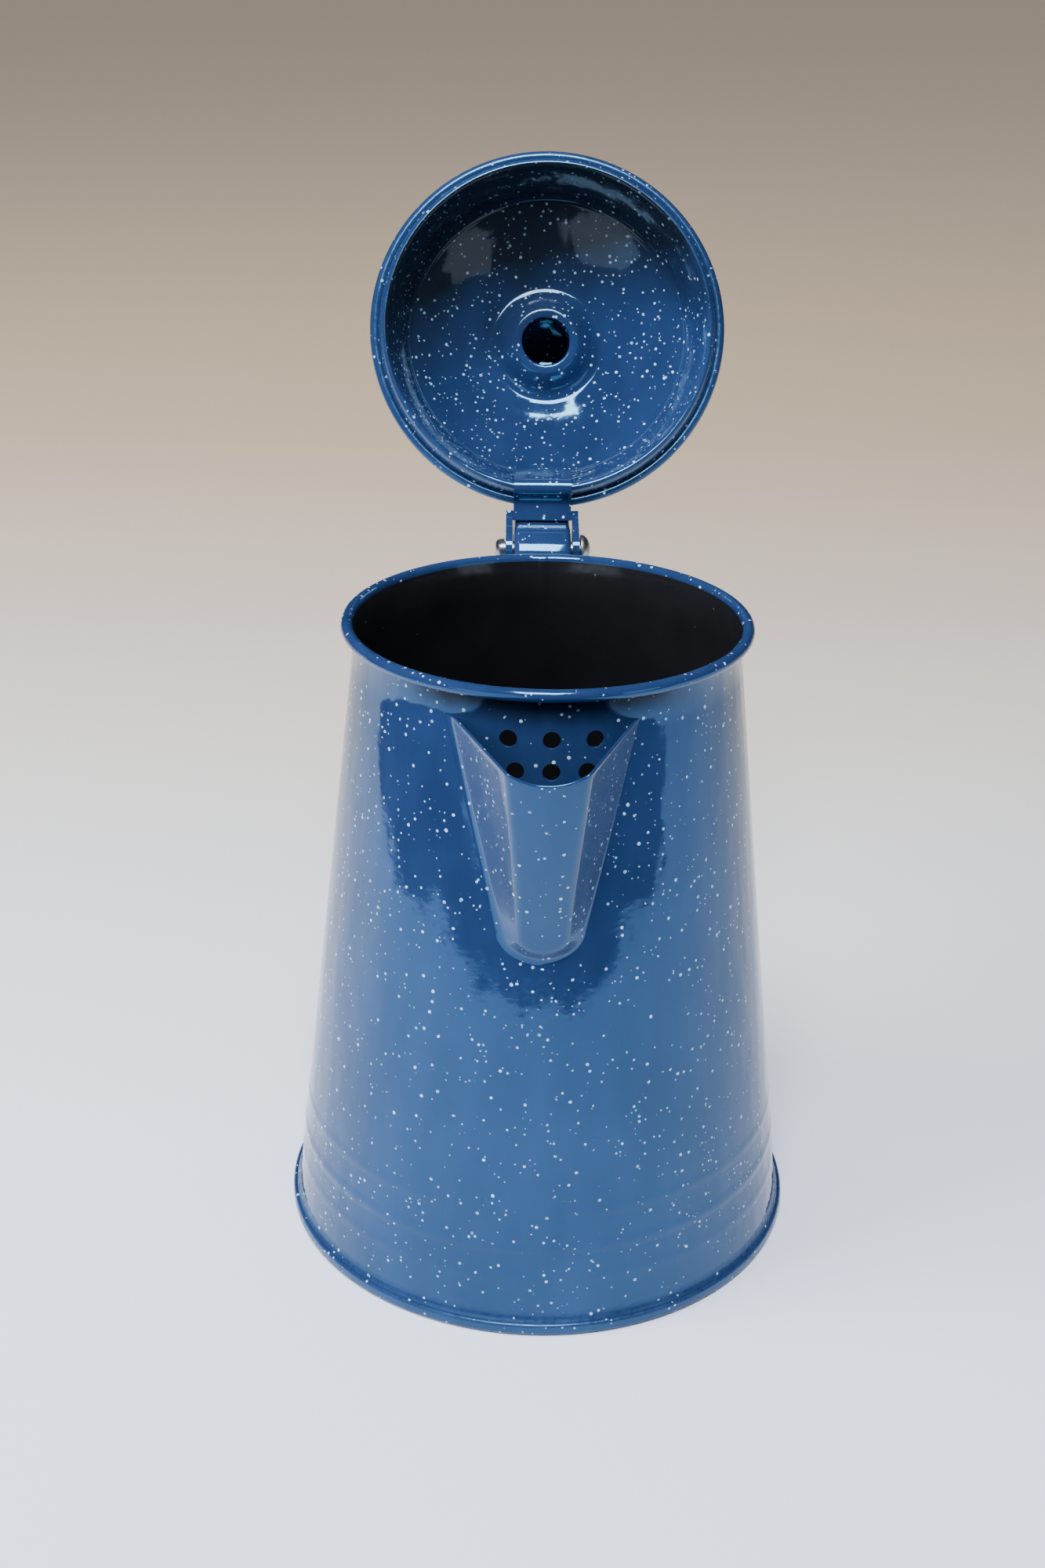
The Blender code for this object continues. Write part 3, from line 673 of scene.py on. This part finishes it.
def make_bottom_plate(blue):
    outer = SEAM_RADIUS - SHEET / 2
    top = SEAM_HEIGHT - SHEET / 2
    low = SHEET / 2
    inner = wall_radius(SEAM_HEIGHT) + 0.5 * MM
    path = [(0, low), (20 * MM, low), (40 * MM, low), (60 * MM, low)]
    path += arc((outer - 0.9 * MM, low + 0.9 * MM), 0.9 * MM, -90, 0, 8)
    path += arc((outer - 0.6 * MM, top - 0.6 * MM), 0.6 * MM, 0, 90, 8)
    path += [(inner, top)]
    upper = offset_path(path, SHEET / 2)
    lower = offset_path(path, -SHEET / 2)
    fold_top = SEAM_HEIGHT
    crease = (SEAM_RADIUS - 0.95 * MM, fold_top - 0.12 * MM)
    wall_at = wall_radius(SEAM_FILLET_Z)
    fillet = bezier(
        [
            crease,
            (crease[0] - 0.15 * MM, fold_top + 0.3 * MM),
            (wall_radius(4.6 * MM) + 0.1 * MM, 4.4 * MM),
            (wall_at, SEAM_FILLET_Z),
        ],
        10,
    )
    fillet += [(wall_at - 0.1 * MM, SEAM_FILLET_Z - 0.1 * MM), (inner - 0.6 * MM, fold_top - 0.2 * MM)]
    outside = [p for p in lower if p[0] > crease[0] or p[1] < fold_top / 2]
    outline = upper + fillet[::-1] + outside[::-1]
    plate = turned("bottom_plate_seam", outline, BODY_STEPS, [blue], closed=False)
    place(plate, "bottom_plate", "pot")


# ---------------------------------------------------------------- spout


def panel_depth(z):
    foot = wall_radius(SPOUT_PANEL_FOOT_Z) + SPOUT_PANEL_FOOT_OUT
    return foot + SPOUT_PANEL_LEAN * (z - SPOUT_PANEL_FOOT_Z)


def u_curve(halves, arc_z, arc_drop):
    """The left half of a U from its top to the middle of its foot: (x, z, direction out of the U)."""
    top_half, low_half = halves
    slant = (top_half - low_half) / (SPOUT_TOP_Z - arc_z)
    points = []
    for i in range(SPOUT_LEG_STEPS):
        t = i / SPOUT_LEG_STEPS
        x = -top_half + (top_half - low_half) * t
        points.append((x, SPOUT_TOP_Z + (arc_z - SPOUT_TOP_Z) * t, (-1.0, -slant)))
    for i in range(SPOUT_ARC_STEPS + 1):
        a = pi / 2 * i / SPOUT_ARC_STEPS
        out = (-cos(a) / low_half, -sin(a) / arc_drop - slant * cos(a) / low_half)
        points.append((-low_half * cos(a), arc_z - arc_drop * sin(a), out))
    return points


def on_wall(x, z, depth=0.0):
    radius = wall_radius(z) - depth
    return Vector((x, -sqrt(radius**2 - x**2), z))


def panel_point(x, z, half):
    """A point on the front panel, which bulges between its edges at -half and half, less near its foot."""
    middle = max(0.0, 1 - (x / half) ** 2) if half > 0 else 1.0
    up = min(1.0, max(0.0, (z - SPOUT_PANEL_ARC_Z + SPOUT_PANEL_ARC_DROP) / SPOUT_BULGE_RUN))
    return Vector((x, -panel_depth(z) - SPOUT_PANEL_BULGE * middle * up * up * (3 - 2 * up), z))


def spout_half_row(outer, edge_at, core_at, half):
    """Points from beside the spout, up its side and over the bend to the panel's flat."""
    xo, zo, out = outer
    length = hypot(*out)
    joint = on_wall(xo, zo)
    beside = on_wall(xo + out[0] / length * SPOUT_FILLET, zo + out[1] / length * SPOUT_FILLET, 0.04 * MM)
    edge = Vector((edge_at[0], -panel_depth(edge_at[1]), edge_at[1]))
    side = edge - joint
    fillet_end = joint + side * min(0.4, SPOUT_FILLET / side.length)
    bend_start = edge - side * min(0.4, SPOUT_BEND / side.length)
    points = bezier([beside, joint, fillet_end], SPOUT_FILLET_STEPS)
    for i in range(1, SPOUT_SIDE_STEPS):
        points.append(tuple(fillet_end.lerp(bend_start, i / SPOUT_SIDE_STEPS)))
    return points + bezier([bend_start, edge, panel_point(*core_at, half)], SPOUT_BEND_STEPS)


def spout_rows():
    top_half, low_half = SPOUT_PANEL_HALF
    core_half = (top_half - SPOUT_BEND, low_half - SPOUT_BEND)
    outer = u_curve(SPOUT_OUTER_HALF, SPOUT_OUTER_ARC_Z, SPOUT_OUTER_ARC_DROP)
    edge = u_curve(SPOUT_PANEL_HALF, SPOUT_PANEL_ARC_Z, SPOUT_PANEL_ARC_DROP)
    core = u_curve(core_half, SPOUT_PANEL_ARC_Z, SPOUT_PANEL_ARC_DROP - SPOUT_BEND)
    rows = []
    for k, (one, (xe, ze, _), (xc, zc, _)) in enumerate(zip(outer, edge, core)):
        fade = max(0.0, 1 - k / SPOUT_LEG_STEPS)
        half = abs(xe)

        def lip_z(x, z):
            middle = max(0.0, 1 - (x / half) ** 2) if half > 0 else 1.0
            return z - fade * (SPOUT_CORNER_DROP + SPOUT_LIP_DIP * middle)

        left = spout_half_row(one, (xe, lip_z(xe, ze)), (xc, lip_z(xc, zc)), half)
        panel = []
        for m in range(1, SPOUT_PANEL_STEPS):
            x = xc * (1 - 2 * m / SPOUT_PANEL_STEPS)
            panel.append(tuple(panel_point(x, lip_z(x, zc), half)))
        rows.append(left + panel + [(-x, y, z) for x, y, z in reversed(left)])
    return np.array(rows)


def grid_normals(grid):
    """Unit normals of a grid of points, facing -Y at its middle."""
    down = np.gradient(grid, axis=0)
    across = np.gradient(grid, axis=1)
    normals = np.cross(down, across)
    length = np.linalg.norm(normals, axis=2, keepdims=True)
    normals = normals / np.maximum(length, 1e-12)
    middle = normals[len(grid) // 3, grid.shape[1] // 2]
    return normals if middle[1] < 0 else -normals


def make_spout(blue):
    outer = spout_rows()
    outer[:, :, 0] += SPOUT_X
    normals = grid_normals(outer)
    normals[-1] = normals[-2]
    inner = outer - normals * SHEET
    flare = SPOUT_FILLET_STEPS + 1
    width = outer.shape[1]
    for row_out, row_in in zip(outer, inner):
        for j in range(flare):
            for column, anchor in ((j, flare), (width - 1 - j, width - 1 - flare)):
                x, y, z = row_out[column]
                base = np.array(on_wall(x - SPOUT_X, z, SPOUT_EMBED)) + (SPOUT_X, 0, 0)
                row_in[column] = base + (row_in[anchor] - base) * (j / flare) ** 2
    inner[-1, :, 0] = SPOUT_X
    lip = []
    for step in range(1, LIP_STEPS):
        angle = pi * step / LIP_STEPS
        middle = (outer[0] + inner[0]) / 2
        up = outer[0] - outer[1]
        up = up / np.linalg.norm(up, axis=1, keepdims=True)
        lip.append(middle + (outer[0] - middle) * cos(angle) + up * SHEET / 2 * sin(angle))
    bm = bmesh.new()
    add_grid(bm, list(outer[::-1]) + lip + list(inner))
    for edge in (0, -1):
        strip = [[*outer[i, [edge]], *inner[i, [edge]]] for i in range(len(outer))]
        add_grid(bm, strip)
        cap = [outer[0, edge], *[row[edge] for row in lip], inner[0, edge]]
        verts = [bm.verts.new(p) for p in cap]
        bm.faces.new(verts)
    spout = object_from_bmesh("spout_shell", bm, [blue])
    place(spout, "spout", "pot")


# ---------------------------------------------------------------- handle and rivet


def handle_path():
    """The line of the handle's outer face, as (y, z), from its top tab round to its low tab."""
    gap = HANDLE_GAP
    bend_z = HANDLE_TOP_Z - HANDLE_BEND_RADIUS
    knee_z = HANDLE_TOP_TAB_Z + HANDLE_TAB_LENGTH
    knee = (wall_radius(knee_z) + gap, knee_z)
    start = (HANDLE_BEND_Y - HANDLE_BEND_RADIUS, bend_z)
    back = (HANDLE_BACK_Y, HANDLE_TOP_Z - HANDLE_TOP_CORNER)
    stand_off = gap + HANDLE_END_FLANGE
    low_knee_z = HANDLE_LOW_TAB_Z + HANDLE_TAB_LENGTH
    low_knee = (wall_radius(low_knee_z) + stand_off, low_knee_z)
    heel_y, heel_z = HANDLE_HEEL
    tab_heights = (HANDLE_TOP_TAB_Z, HANDLE_TOP_TAB_Z + 3.7 * MM)
    path = [(wall_radius(z) + gap, z) for z in tab_heights]
    path += bezier([knee, (knee[0] - 0.4 * MM, knee_z + 5 * MM), (start[0], bend_z - 4.5 * MM), start], 12)
    path += arc((HANDLE_BEND_Y, bend_z), HANDLE_BEND_RADIUS, 180, 90, 24)[1:]
    top = HANDLE_TOP_Z
    crown = (HANDLE_BEND_Y + 14 * MM, top)
    path += bezier([crown, (back[0] - 9 * MM, top), (back[0], top - 7 * MM), back], 20)
    heel_lead = (heel_y + 20 * MM, heel_z + 11 * MM)
    path += bezier([back, (back[0], back[1] - 30 * MM), heel_lead, HANDLE_HEEL], 26)[1:]
    heel_trail = (heel_y - 9 * MM, heel_z - 5 * MM)
    path += bezier([HANDLE_HEEL, heel_trail, (low_knee[0] + 0.9 * MM, low_knee_z + 6 * MM), low_knee], 14)[1:]
    low_tab = (wall_radius(HANDLE_LOW_TAB_Z) + stand_off, HANDLE_LOW_TAB_Z)
    return path + [low_tab]


def channel_section(half_width, flange, thickness):
    """A U channel's outline as (x, depth): depth 0 is its outer face, and its flanges point to +depth."""
    corner = 1.6 * MM
    edge = half_width - thickness / 2
    round_edge = arc((edge, flange - thickness / 2), thickness / 2, 0, 180, 6)
    inner_corner = corner - thickness * 0.75
    right = arc((half_width - corner, corner), corner, -90, 0, 6) + round_edge
    right += arc(
        (half_width - thickness - inner_corner, thickness + inner_corner), inner_corner, 0, -90, 4
    )
    return right + [(-x, d) for x, d in reversed(right)]


def make_handle(blue):
    path = handle_path()
    normals = path_normals(path)
    run = np.cumsum([0.0] + [hypot(b[0] - a[0], b[1] - a[1]) for a, b in zip(path, path[1:])])
    sections = []
    for (y, z), (ny, nz), along in zip(path, normals, run):
        from_end = min(along, run[-1] - along)
        grow = min(1.0, max(0.0, (from_end - 6 * MM) / (7 * MM)))
        flange = HANDLE_END_FLANGE + (HANDLE_FLANGE - HANDLE_END_FLANGE) * grow * grow * (3 - 2 * grow)
        section = channel_section(HANDLE_HALF_WIDTH, flange, HANDLE_SHEET)
        sections.append([(x, y - ny * d, z - nz * d) for x, d in section])
    handle = lofted("strap_handle", sections, [blue])
    middle = HANDLE_HALF_WIDTH - HANDLE_SHEET / 2
    bosses = []
    for side in (-1, 1):
        centre = Vector((side * middle, PIN.y, PIN.z))
        bosses.append(disc(f"boss_{side + 2}", BOSS_RADIUS, HANDLE_SHEET * 0.86, centre, (1, 0, 0)))
    combine(handle, bosses, "UNION")
    combine(handle, [disc("drill", PIN_HOLE_RADIUS, 4 * HANDLE_HALF_WIDTH, PIN, (1, 0, 0))], "DIFFERENCE")
    place(handle, "handle", "pot")


def make_hinge_pin(steel):
    """A round-head rivet along X: its made head at +X, its peened end at -X, slightly ragged."""
    right = PIN_REACH_RIGHT - PIN_HEAD_HEIGHT
    left = -PIN_REACH_LEFT - PIN_RIVET_HEIGHT
    outline = [(0, -left - PIN_RIVET_HEIGHT * 0.94)]
    outline += [(PIN_RIVET_RADIUS * 0.4, -left - PIN_RIVET_HEIGHT)]
    outline += bezier(
        [
            (PIN_RIVET_RADIUS * 0.62, -left - PIN_RIVET_HEIGHT * 0.96),
            (PIN_RIVET_RADIUS, -left - PIN_RIVET_HEIGHT * 0.85),
            (PIN_RIVET_RADIUS, -left - PIN_RIVET_HEIGHT * 0.3),
        ],
        8,
    )
    outline += [(PIN_RIVET_RADIUS * 0.97, -left), (PIN_RADIUS, -left), (PIN_RADIUS, right)]
    outline += [(PIN_HEAD_RADIUS * 0.96, right), (PIN_HEAD_RADIUS, right + 0.2 * MM)]
    for i in range(1, 15):
        a = pi / 2 * i / 15
        outline.append((PIN_HEAD_RADIUS * cos(a), right + 0.2 * MM + (PIN_HEAD_HEIGHT - 0.2 * MM) * sin(a)))
    outline.append((0, right + PIN_HEAD_HEIGHT))

    def ragged(angle, radius, z):
        if z > -left - 0.1 * MM or radius < PIN_RADIUS:
            return 0.0
        return 0.12 * MM * (sin(3 * angle + 0.7) + 0.6 * sin(5 * angle) - 1.2)

    pin = turned("hinge_rivet", outline, 72, [steel], closed=False, swell=ragged)
    pin.data.transform(Matrix.Translation(PIN) @ Matrix.Rotation(pi / 2, 4, "Y"))
    place(pin, "hinge_pin", "pot")


# ---------------------------------------------------------------- lid


def lid_path():
    """The middle line of the lid's sheet, from the collar in the knob out to the end of its rolled edge."""
    crest_r, crest_z = LID_CREST
    shoulder_r, shoulder_z = LID_SHOULDER
    collar = LID_COLLAR_RADIUS
    collar_line = [LID_COLLAR_FLARE, (collar, LID_COLLAR_TOP_Z)]
    collar_line += [(collar, LID_SEAT_Z), (collar + 1.2 * MM, LID_SEAT_Z)]
    collar_line = rounded(collar_line, 0.3 * MM, 5)
    seat = [collar_line[-1], (collar + 2.4 * MM, LID_SEAT_Z), (crest_r, crest_z + 0.7 * MM)]
    dome_end = (shoulder_r - 1.6 * MM, shoulder_z + 0.4 * MM)
    dome = []
    for i in range(1, 17):
        t = i / 17
        rise = LID_DOME_RISE * 4 * t * (1 - t)
        dome.append((crest_r + (dome_end[0] - crest_r) * t, crest_z + (dome_end[1] - crest_z) * t + rise))
    fold = arc((LID_FOLD_RADIUS - 0.05 * MM, SHEET / 2 + 0.6 * MM), 0.6 * MM, 200, 340, 8)
    shoulder = rounded([dome[-1], (shoulder_r + 0.3 * MM, shoulder_z + 0.1 * MM), fold[0]], 2.4 * MM, 8)
    seat = collar_line[:-1] + rounded(seat + dome[3:5], 3.6 * MM, 12)
    dome = dome[4:]
    roll = arc((LID_BEAD_RADIUS, LID_BEAD_Z), LID_BEAD_ROLL - SHEET / 2, 165, -150, 24)
    return seat[:-1] + dome[:-1] + shoulder[1:-1] + fold + roll


def lid_height(points):
    return [(r, z + LID_BASE_Z) for r, z in points]


def make_lid(blue, inner_shaded_blue):
    outline = lid_height(sheet_outline(lid_path(), SHEET))

    def lining(i):
        """The lid's inner side, out to the fold of its skirt, has its own material, which paints shade over
        its upper half.
        """
        return 1 if i >= len(outline) // 2 and outline[i][0] < LID_FOLD_RADIUS + 0.1 * MM else 0

    lid = turned("domed_lid", outline, LID_STEPS, [blue, inner_shaded_blue], slot_of=lining)
    lid.data.transform(Matrix.Translation((LID_X, 0, 0)))
    open_lid(lid)
    place(lid, "lid", "lid")


def knob_path():
    """The middle line of the knob's sheet, from the foot of its neck to the top of its head."""
    neck = KNOB_NECK_RADIUS
    head = []
    for i in range(33):
        a = radians(-45 + (90 + 45) * i / 32)
        head.append((KNOB_HEAD_RADIUS * cos(a), KNOB_HEAD_Z + KNOB_HEAD_RISE * sin(a)))
    neck_line = rounded([(neck, KNOB_NECK_FOOT_Z), (neck, KNOB_NECK_TOP_Z), *head[:2]], 1.8 * MM, 8)
    return neck_line[:-1] + head[1:]


def make_knob(blue):
    path = lid_height(knob_path())
    inner = offset_path(path, KNOB_SHEET / 2)
    outer = offset_path(path, -KNOB_SHEET / 2)
    inner[-1] = (0, inner[-1][1])
    outer[-1] = (0, outer[-1][1])
    rim = end_cap(path[::-1], KNOB_SHEET)
    outline = inner[::-1] + rim[::-1] + outer
    knob = turned("hollow_knob", outline, KNOB_STEPS, [blue], closed=False)
    knob.data.transform(Matrix.Translation((LID_X, 0, 0)))
    open_lid(knob)
    place(knob, "knob", "lid")


def strap_path():
    """The strap's middle line drawn shut, as (y, z), from its tongue to its rear edge."""
    base = LID_BASE_Z
    over = STRAP_OVER_RIM_Z
    tongue = bezier(
        [(37.9 * MM, base + 15.0 * MM), (39.4 * MM, base + 12.2 * MM), (43.75 * MM, base + 2.6 * MM)], 14
    )
    fold = arc((46.8 * MM, base + 1.3 * MM), 2.3 * MM, 195, 335, 14)
    rise = bezier([fold[-1], (49.3 * MM, over - 0.3 * MM), (51.4 * MM, over)], 8)
    flat = [(51.4 * MM + (STRAP_REAR_Y - 51.4 * MM) * i / 3, over) for i in (1, 2, 3)]
    return tongue + fold + rise[1:] + flat


def strap_half_width(run):
    """Half the strap's width at a run from the tongue's round end."""
    if run >= STRAP_CORNER:
        return STRAP_HALF_WIDTH
    corner = STRAP_CORNER
    return STRAP_HALF_WIDTH - corner + sqrt(max(0.0, corner**2 - (corner - run) ** 2))


def ear_outline():
    """An ear's outline drawn shut, as (y, z): a round end and a straight run to the web."""
    top = STRAP_OVER_RIM_Z + SHEET / 2
    front = STRAP_REAR_Y - 2.9 * MM
    low = top - SHEET
    round_end = arc(PIN.yz, EAR_END_RADIUS, 232, 470, 32)
    return [(front, low), (front + 1.9 * MM, low)] + round_end + [(front, top)]


def make_lid_strap(blue):
    path = strap_path()
    run = np.cumsum([0.0] + [hypot(b[0] - a[0], b[1] - a[1]) for a, b in zip(path, path[1:])])
    low, high = offset_path(path, -SHEET / 2), offset_path(path, SHEET / 2)
    sections = []
    for one, two, along in zip(low, high, run):
        half = strap_half_width(along)
        columns = [half * (k / 4 - 1) for k in range(9)]
        sections.append([(x, *one) for x in columns] + [(x, *two) for x in reversed(columns)])
    strap = lofted("lid_hinge_strap", sections, [blue])
    top = STRAP_OVER_RIM_Z + SHEET * 0.45
    bottom = top - SHEET * 0.9
    half = STRAP_SHOULDER_HALF - 0.05 * MM
    shoulder_sections = [
        [(-half, y, bottom), (half, y, bottom), (half, y, top), (-half, y, top)]
        for y in (STRAP_REAR_Y - 2.8 * MM, STRAP_REAR_Y - 0.05 * MM)
    ]
    extras = [lofted("shoulder", shoulder_sections, [])]
    reach = PIN.y - STRAP_REAR_Y + 2.9 * MM
    for side in (-1, 1):
        ear_sections = [
            [(side * (x + EAR_SPLAY * min(1.0, 1 + (y - PIN.y) / reach)), y, z) for y, z in ear_outline()]
            for x in (EAR_INNER_X, EAR_INNER_X + EAR_SHEET)
        ]
        extras.append(lofted(f"ear_{side + 2}", ear_sections, []))
    combine(strap, extras, "UNION")
    combine(strap, [disc("drill", PIN_HOLE_RADIUS, 40 * MM, PIN, (1, 0, 0))], "DIFFERENCE")
    soften(strap, 0.22 * MM)
    open_lid(strap)
    place(strap, "lid_strap", "lid")


# ---------------------------------------------------------------- stage


def floor_material():
    """Matt pale paper, cool by the pot and warmer and darker far behind it."""
    n = Nodes("pale_paper")
    split = n.add("ShaderNodeSeparateXYZ")
    n.link(n.place, split.inputs[0])
    ramp = n.add("ShaderNodeValToRGB")
    n.link(n.remap(split.outputs["Y"], *FLOOR_RAMP_Y), ramp.inputs["Fac"])
    stops = ramp.color_ramp.elements
    low, high = FLOOR_RAMP_Y
    for i, (y, colour) in enumerate(FLOOR_COLOURS):
        stop = stops[i] if i < 2 else stops.new((y - low) / (high - low))
        stop.position = (y - low) / (high - low)
        stop.color = (*colour, 1)
    mottle = n.remap(n.noise(0.4, 2.0), 0.0, 1.0, 0.0, 0.03)
    n.link(n.mix(mottle, ramp.outputs["Color"], (0.3, 0.3, 0.3, 1)), n.shader.inputs["Base Color"])
    n.shader.inputs["Roughness"].default_value = 0.75
    n.shader.inputs["Specular IOR Level"].default_value = 0.2
    n.link(n.bump(n.noise(1.5 * MM, 3.0), 0.02 * MM), n.shader.inputs["Normal"])
    return n.material


def make_floor():
    bm = bmesh.new()
    bmesh.ops.create_circle(bm, cap_ends=True, segments=96, radius=14.0)
    floor = object_from_bmesh("floor", bm, [floor_material()])


def make_light(name, place_at, size, power, colour, target=(0, 0, 0.12)):
    data = bpy.data.lights.new(name, "AREA")
    data.shape = "RECTANGLE"
    data.size, data.size_y = size
    data.energy = power
    data.color = colour
    light = bpy.data.objects.new(name, data)
    light.location = place_at
    aim = Vector(target) - Vector(place_at)
    light.rotation_euler = aim.to_track_quat("-Z", "Y").to_euler()
    bpy.context.scene.collection.objects.link(light)
    return light


def make_card(name, faces, colour, glow=0.0):
    """Cards beyond the table that only the pot's gloss sees."""
    n = Nodes(name)
    n.link(n.mix(n.noise(0.3, 2.0), colour, tuple(c * 1.3 for c in colour)), n.shader.inputs["Base Color"])
    dimmer = tuple(c * 0.8 for c in colour)
    n.link(n.mix(n.noise(0.05, 3.0), colour, dimmer), n.shader.inputs["Emission Color"])
    n.shader.inputs["Emission Strength"].default_value = glow
    bm = bmesh.new()
    for corners in faces:
        bm.faces.new([bm.verts.new(corner) for corner in corners])
    card = object_from_bmesh(name, bm, [n.material])
    card.visible_camera = False
    card.visible_diffuse = False
    card.visible_shadow = False


def make_room():
    """What the gloss sees beyond the table: a dark room with two pale cards before it."""
    walls = []
    for (x1, y1), (x2, y2) in zip(ROOM_FENCE, ROOM_FENCE[1:]):
        low, top = 1 * MM, ROOM_TOP_Z
        walls.append([(x1, y1, low), (x2, y2, low), (x2, y2, top), (x1, y1, top)])
    make_card("dark_room", walls, (0.012, 0.015, 0.020, 1))
    for name, outline in (("pale_patch_right", RIGHT_CARD), ("pale_patch_left", LEFT_CARD)):
        near = [(x * CARD_NEARER, CARD_Y * CARD_NEARER, z) for x, z in outline]
        make_card(name, [near], (0.80, 0.92, 1.0, 1), CARD_GLOW)


def make_world():
    """Soft light, brighter from above than from the sides, that gloss doesn't see."""
    world = bpy.data.worlds.new("soft_room")
    world.use_nodes = True
    tree = world.node_tree
    background = tree.nodes["Background"]
    place_of = tree.nodes.new("ShaderNodeTexCoord")
    split = tree.nodes.new("ShaderNodeSeparateXYZ")
    ramp = tree.nodes.new("ShaderNodeValToRGB")
    tree.links.new(place_of.outputs["Generated"], split.inputs[0])
    tree.links.new(split.outputs["Z"], ramp.inputs["Fac"])
    tree.links.new(ramp.outputs["Color"], background.inputs["Color"])
    stops = ramp.color_ramp.elements
    for i, (height, grey) in enumerate(WORLD_GREYS):
        stop = stops[i] if i < 2 else stops.new(height)
        stop.position = height
        stop.color = (grey * 0.88, grey * 0.93, grey, 1)
    background.inputs["Strength"].default_value = WORLD_STRENGTH
    bpy.context.scene.world = world
    world.cycles_visibility.glossy = False


def make_camera():
    """The photograph's view: a 46 mm lens, looking down at the pot from in front of its spout."""
    pitch, yaw, roll = radians(24.362), radians(1.061), radians(0.82)
    forward = Vector((sin(yaw) * cos(pitch), cos(yaw) * cos(pitch), -sin(pitch)))
    right = Vector((cos(yaw), -sin(yaw), 0))
    up = right.cross(forward)
    x_axis = cos(roll) * right + sin(roll) * up
    y_axis = -sin(roll) * right + cos(roll) * up
    data = bpy.data.cameras.new("camera")
    data.lens = 45.7
    data.sensor_width = 36
    data.clip_start = 0.01
    camera = bpy.data.objects.new("camera", data)
    turn = Matrix((x_axis, y_axis, -forward)).transposed().to_4x4()
    camera.matrix_world = Matrix.Translation((-0.01506, -0.49115, 0.35062)) @ turn
    bpy.context.scene.collection.objects.link(camera)
    bpy.context.scene.camera = camera


def main():
    fleck = (0.42, 0.60, 0.80, 1)
    deep, light = (0.008, 0.020, 0.062, 1), (0.012, 0.029, 0.088, 1)
    # The dark colour of the painted shade, under the pot's rim and on the lid's inside.
    painted_shade_colour = (0.004, 0.007, 0.012, 1)
    blue = speckled_enamel("blue_enamel_fine", deep, light, fleck)
    # The pot's enamel gets painted shade and darker gloss in the crease under its rim.
    pot_blue = speckled_enamel(
        "pot_blue_enamel", deep, light, fleck, wave=2.4, painted_shade_colour=painted_shade_colour, shade_at=rim_shade,
        shade_gloss_tint=(0.03, 0.06, 0.09, 1)
    )
    seam_blue = speckled_enamel("seam_blue_enamel", deep, light, fleck, wave=1.0, roughness=0.3)
    # The lid's inside gets painted shade over its upper half.
    lid_blue = speckled_enamel(
        "lid_blue_enamel", deep, light, fleck, fleck_share=0.75, wave=1.8, painted_shade_colour=painted_shade_colour, shade_at=painted_lid_shade
    )
    edge_blue = speckled_enamel("edge_blue_enamel", deep, light, fleck, roughness=0.2)
    black = black_enamel("black_lining")
    steel = bare_steel("rivet_steel")
    make_body(pot_blue, black)
    make_bottom_plate(seam_blue)
    make_spout(blue)
    make_handle(blue)
    make_hinge_pin(steel)
    make_lid(edge_blue, lid_blue)
    make_knob(blue)
    make_lid_strap(blue)
    wire = frame["nodes"]["rim_wire"]
    wire.data.materials.clear()
    wire.data.materials.append(steel)
    make_floor()
    make_room()
    make_world()
    make_light("key", (-0.06, -0.70, 1.38), (0.5, 0.62), 43, (0.96, 0.98, 1.0))
    fill = make_light("left_fill", (-1.2, -0.3, 0.9), (0.9, 0.9), 42, (0.92, 0.96, 1.0))
    fill.visible_glossy = False
    make_camera()


main()
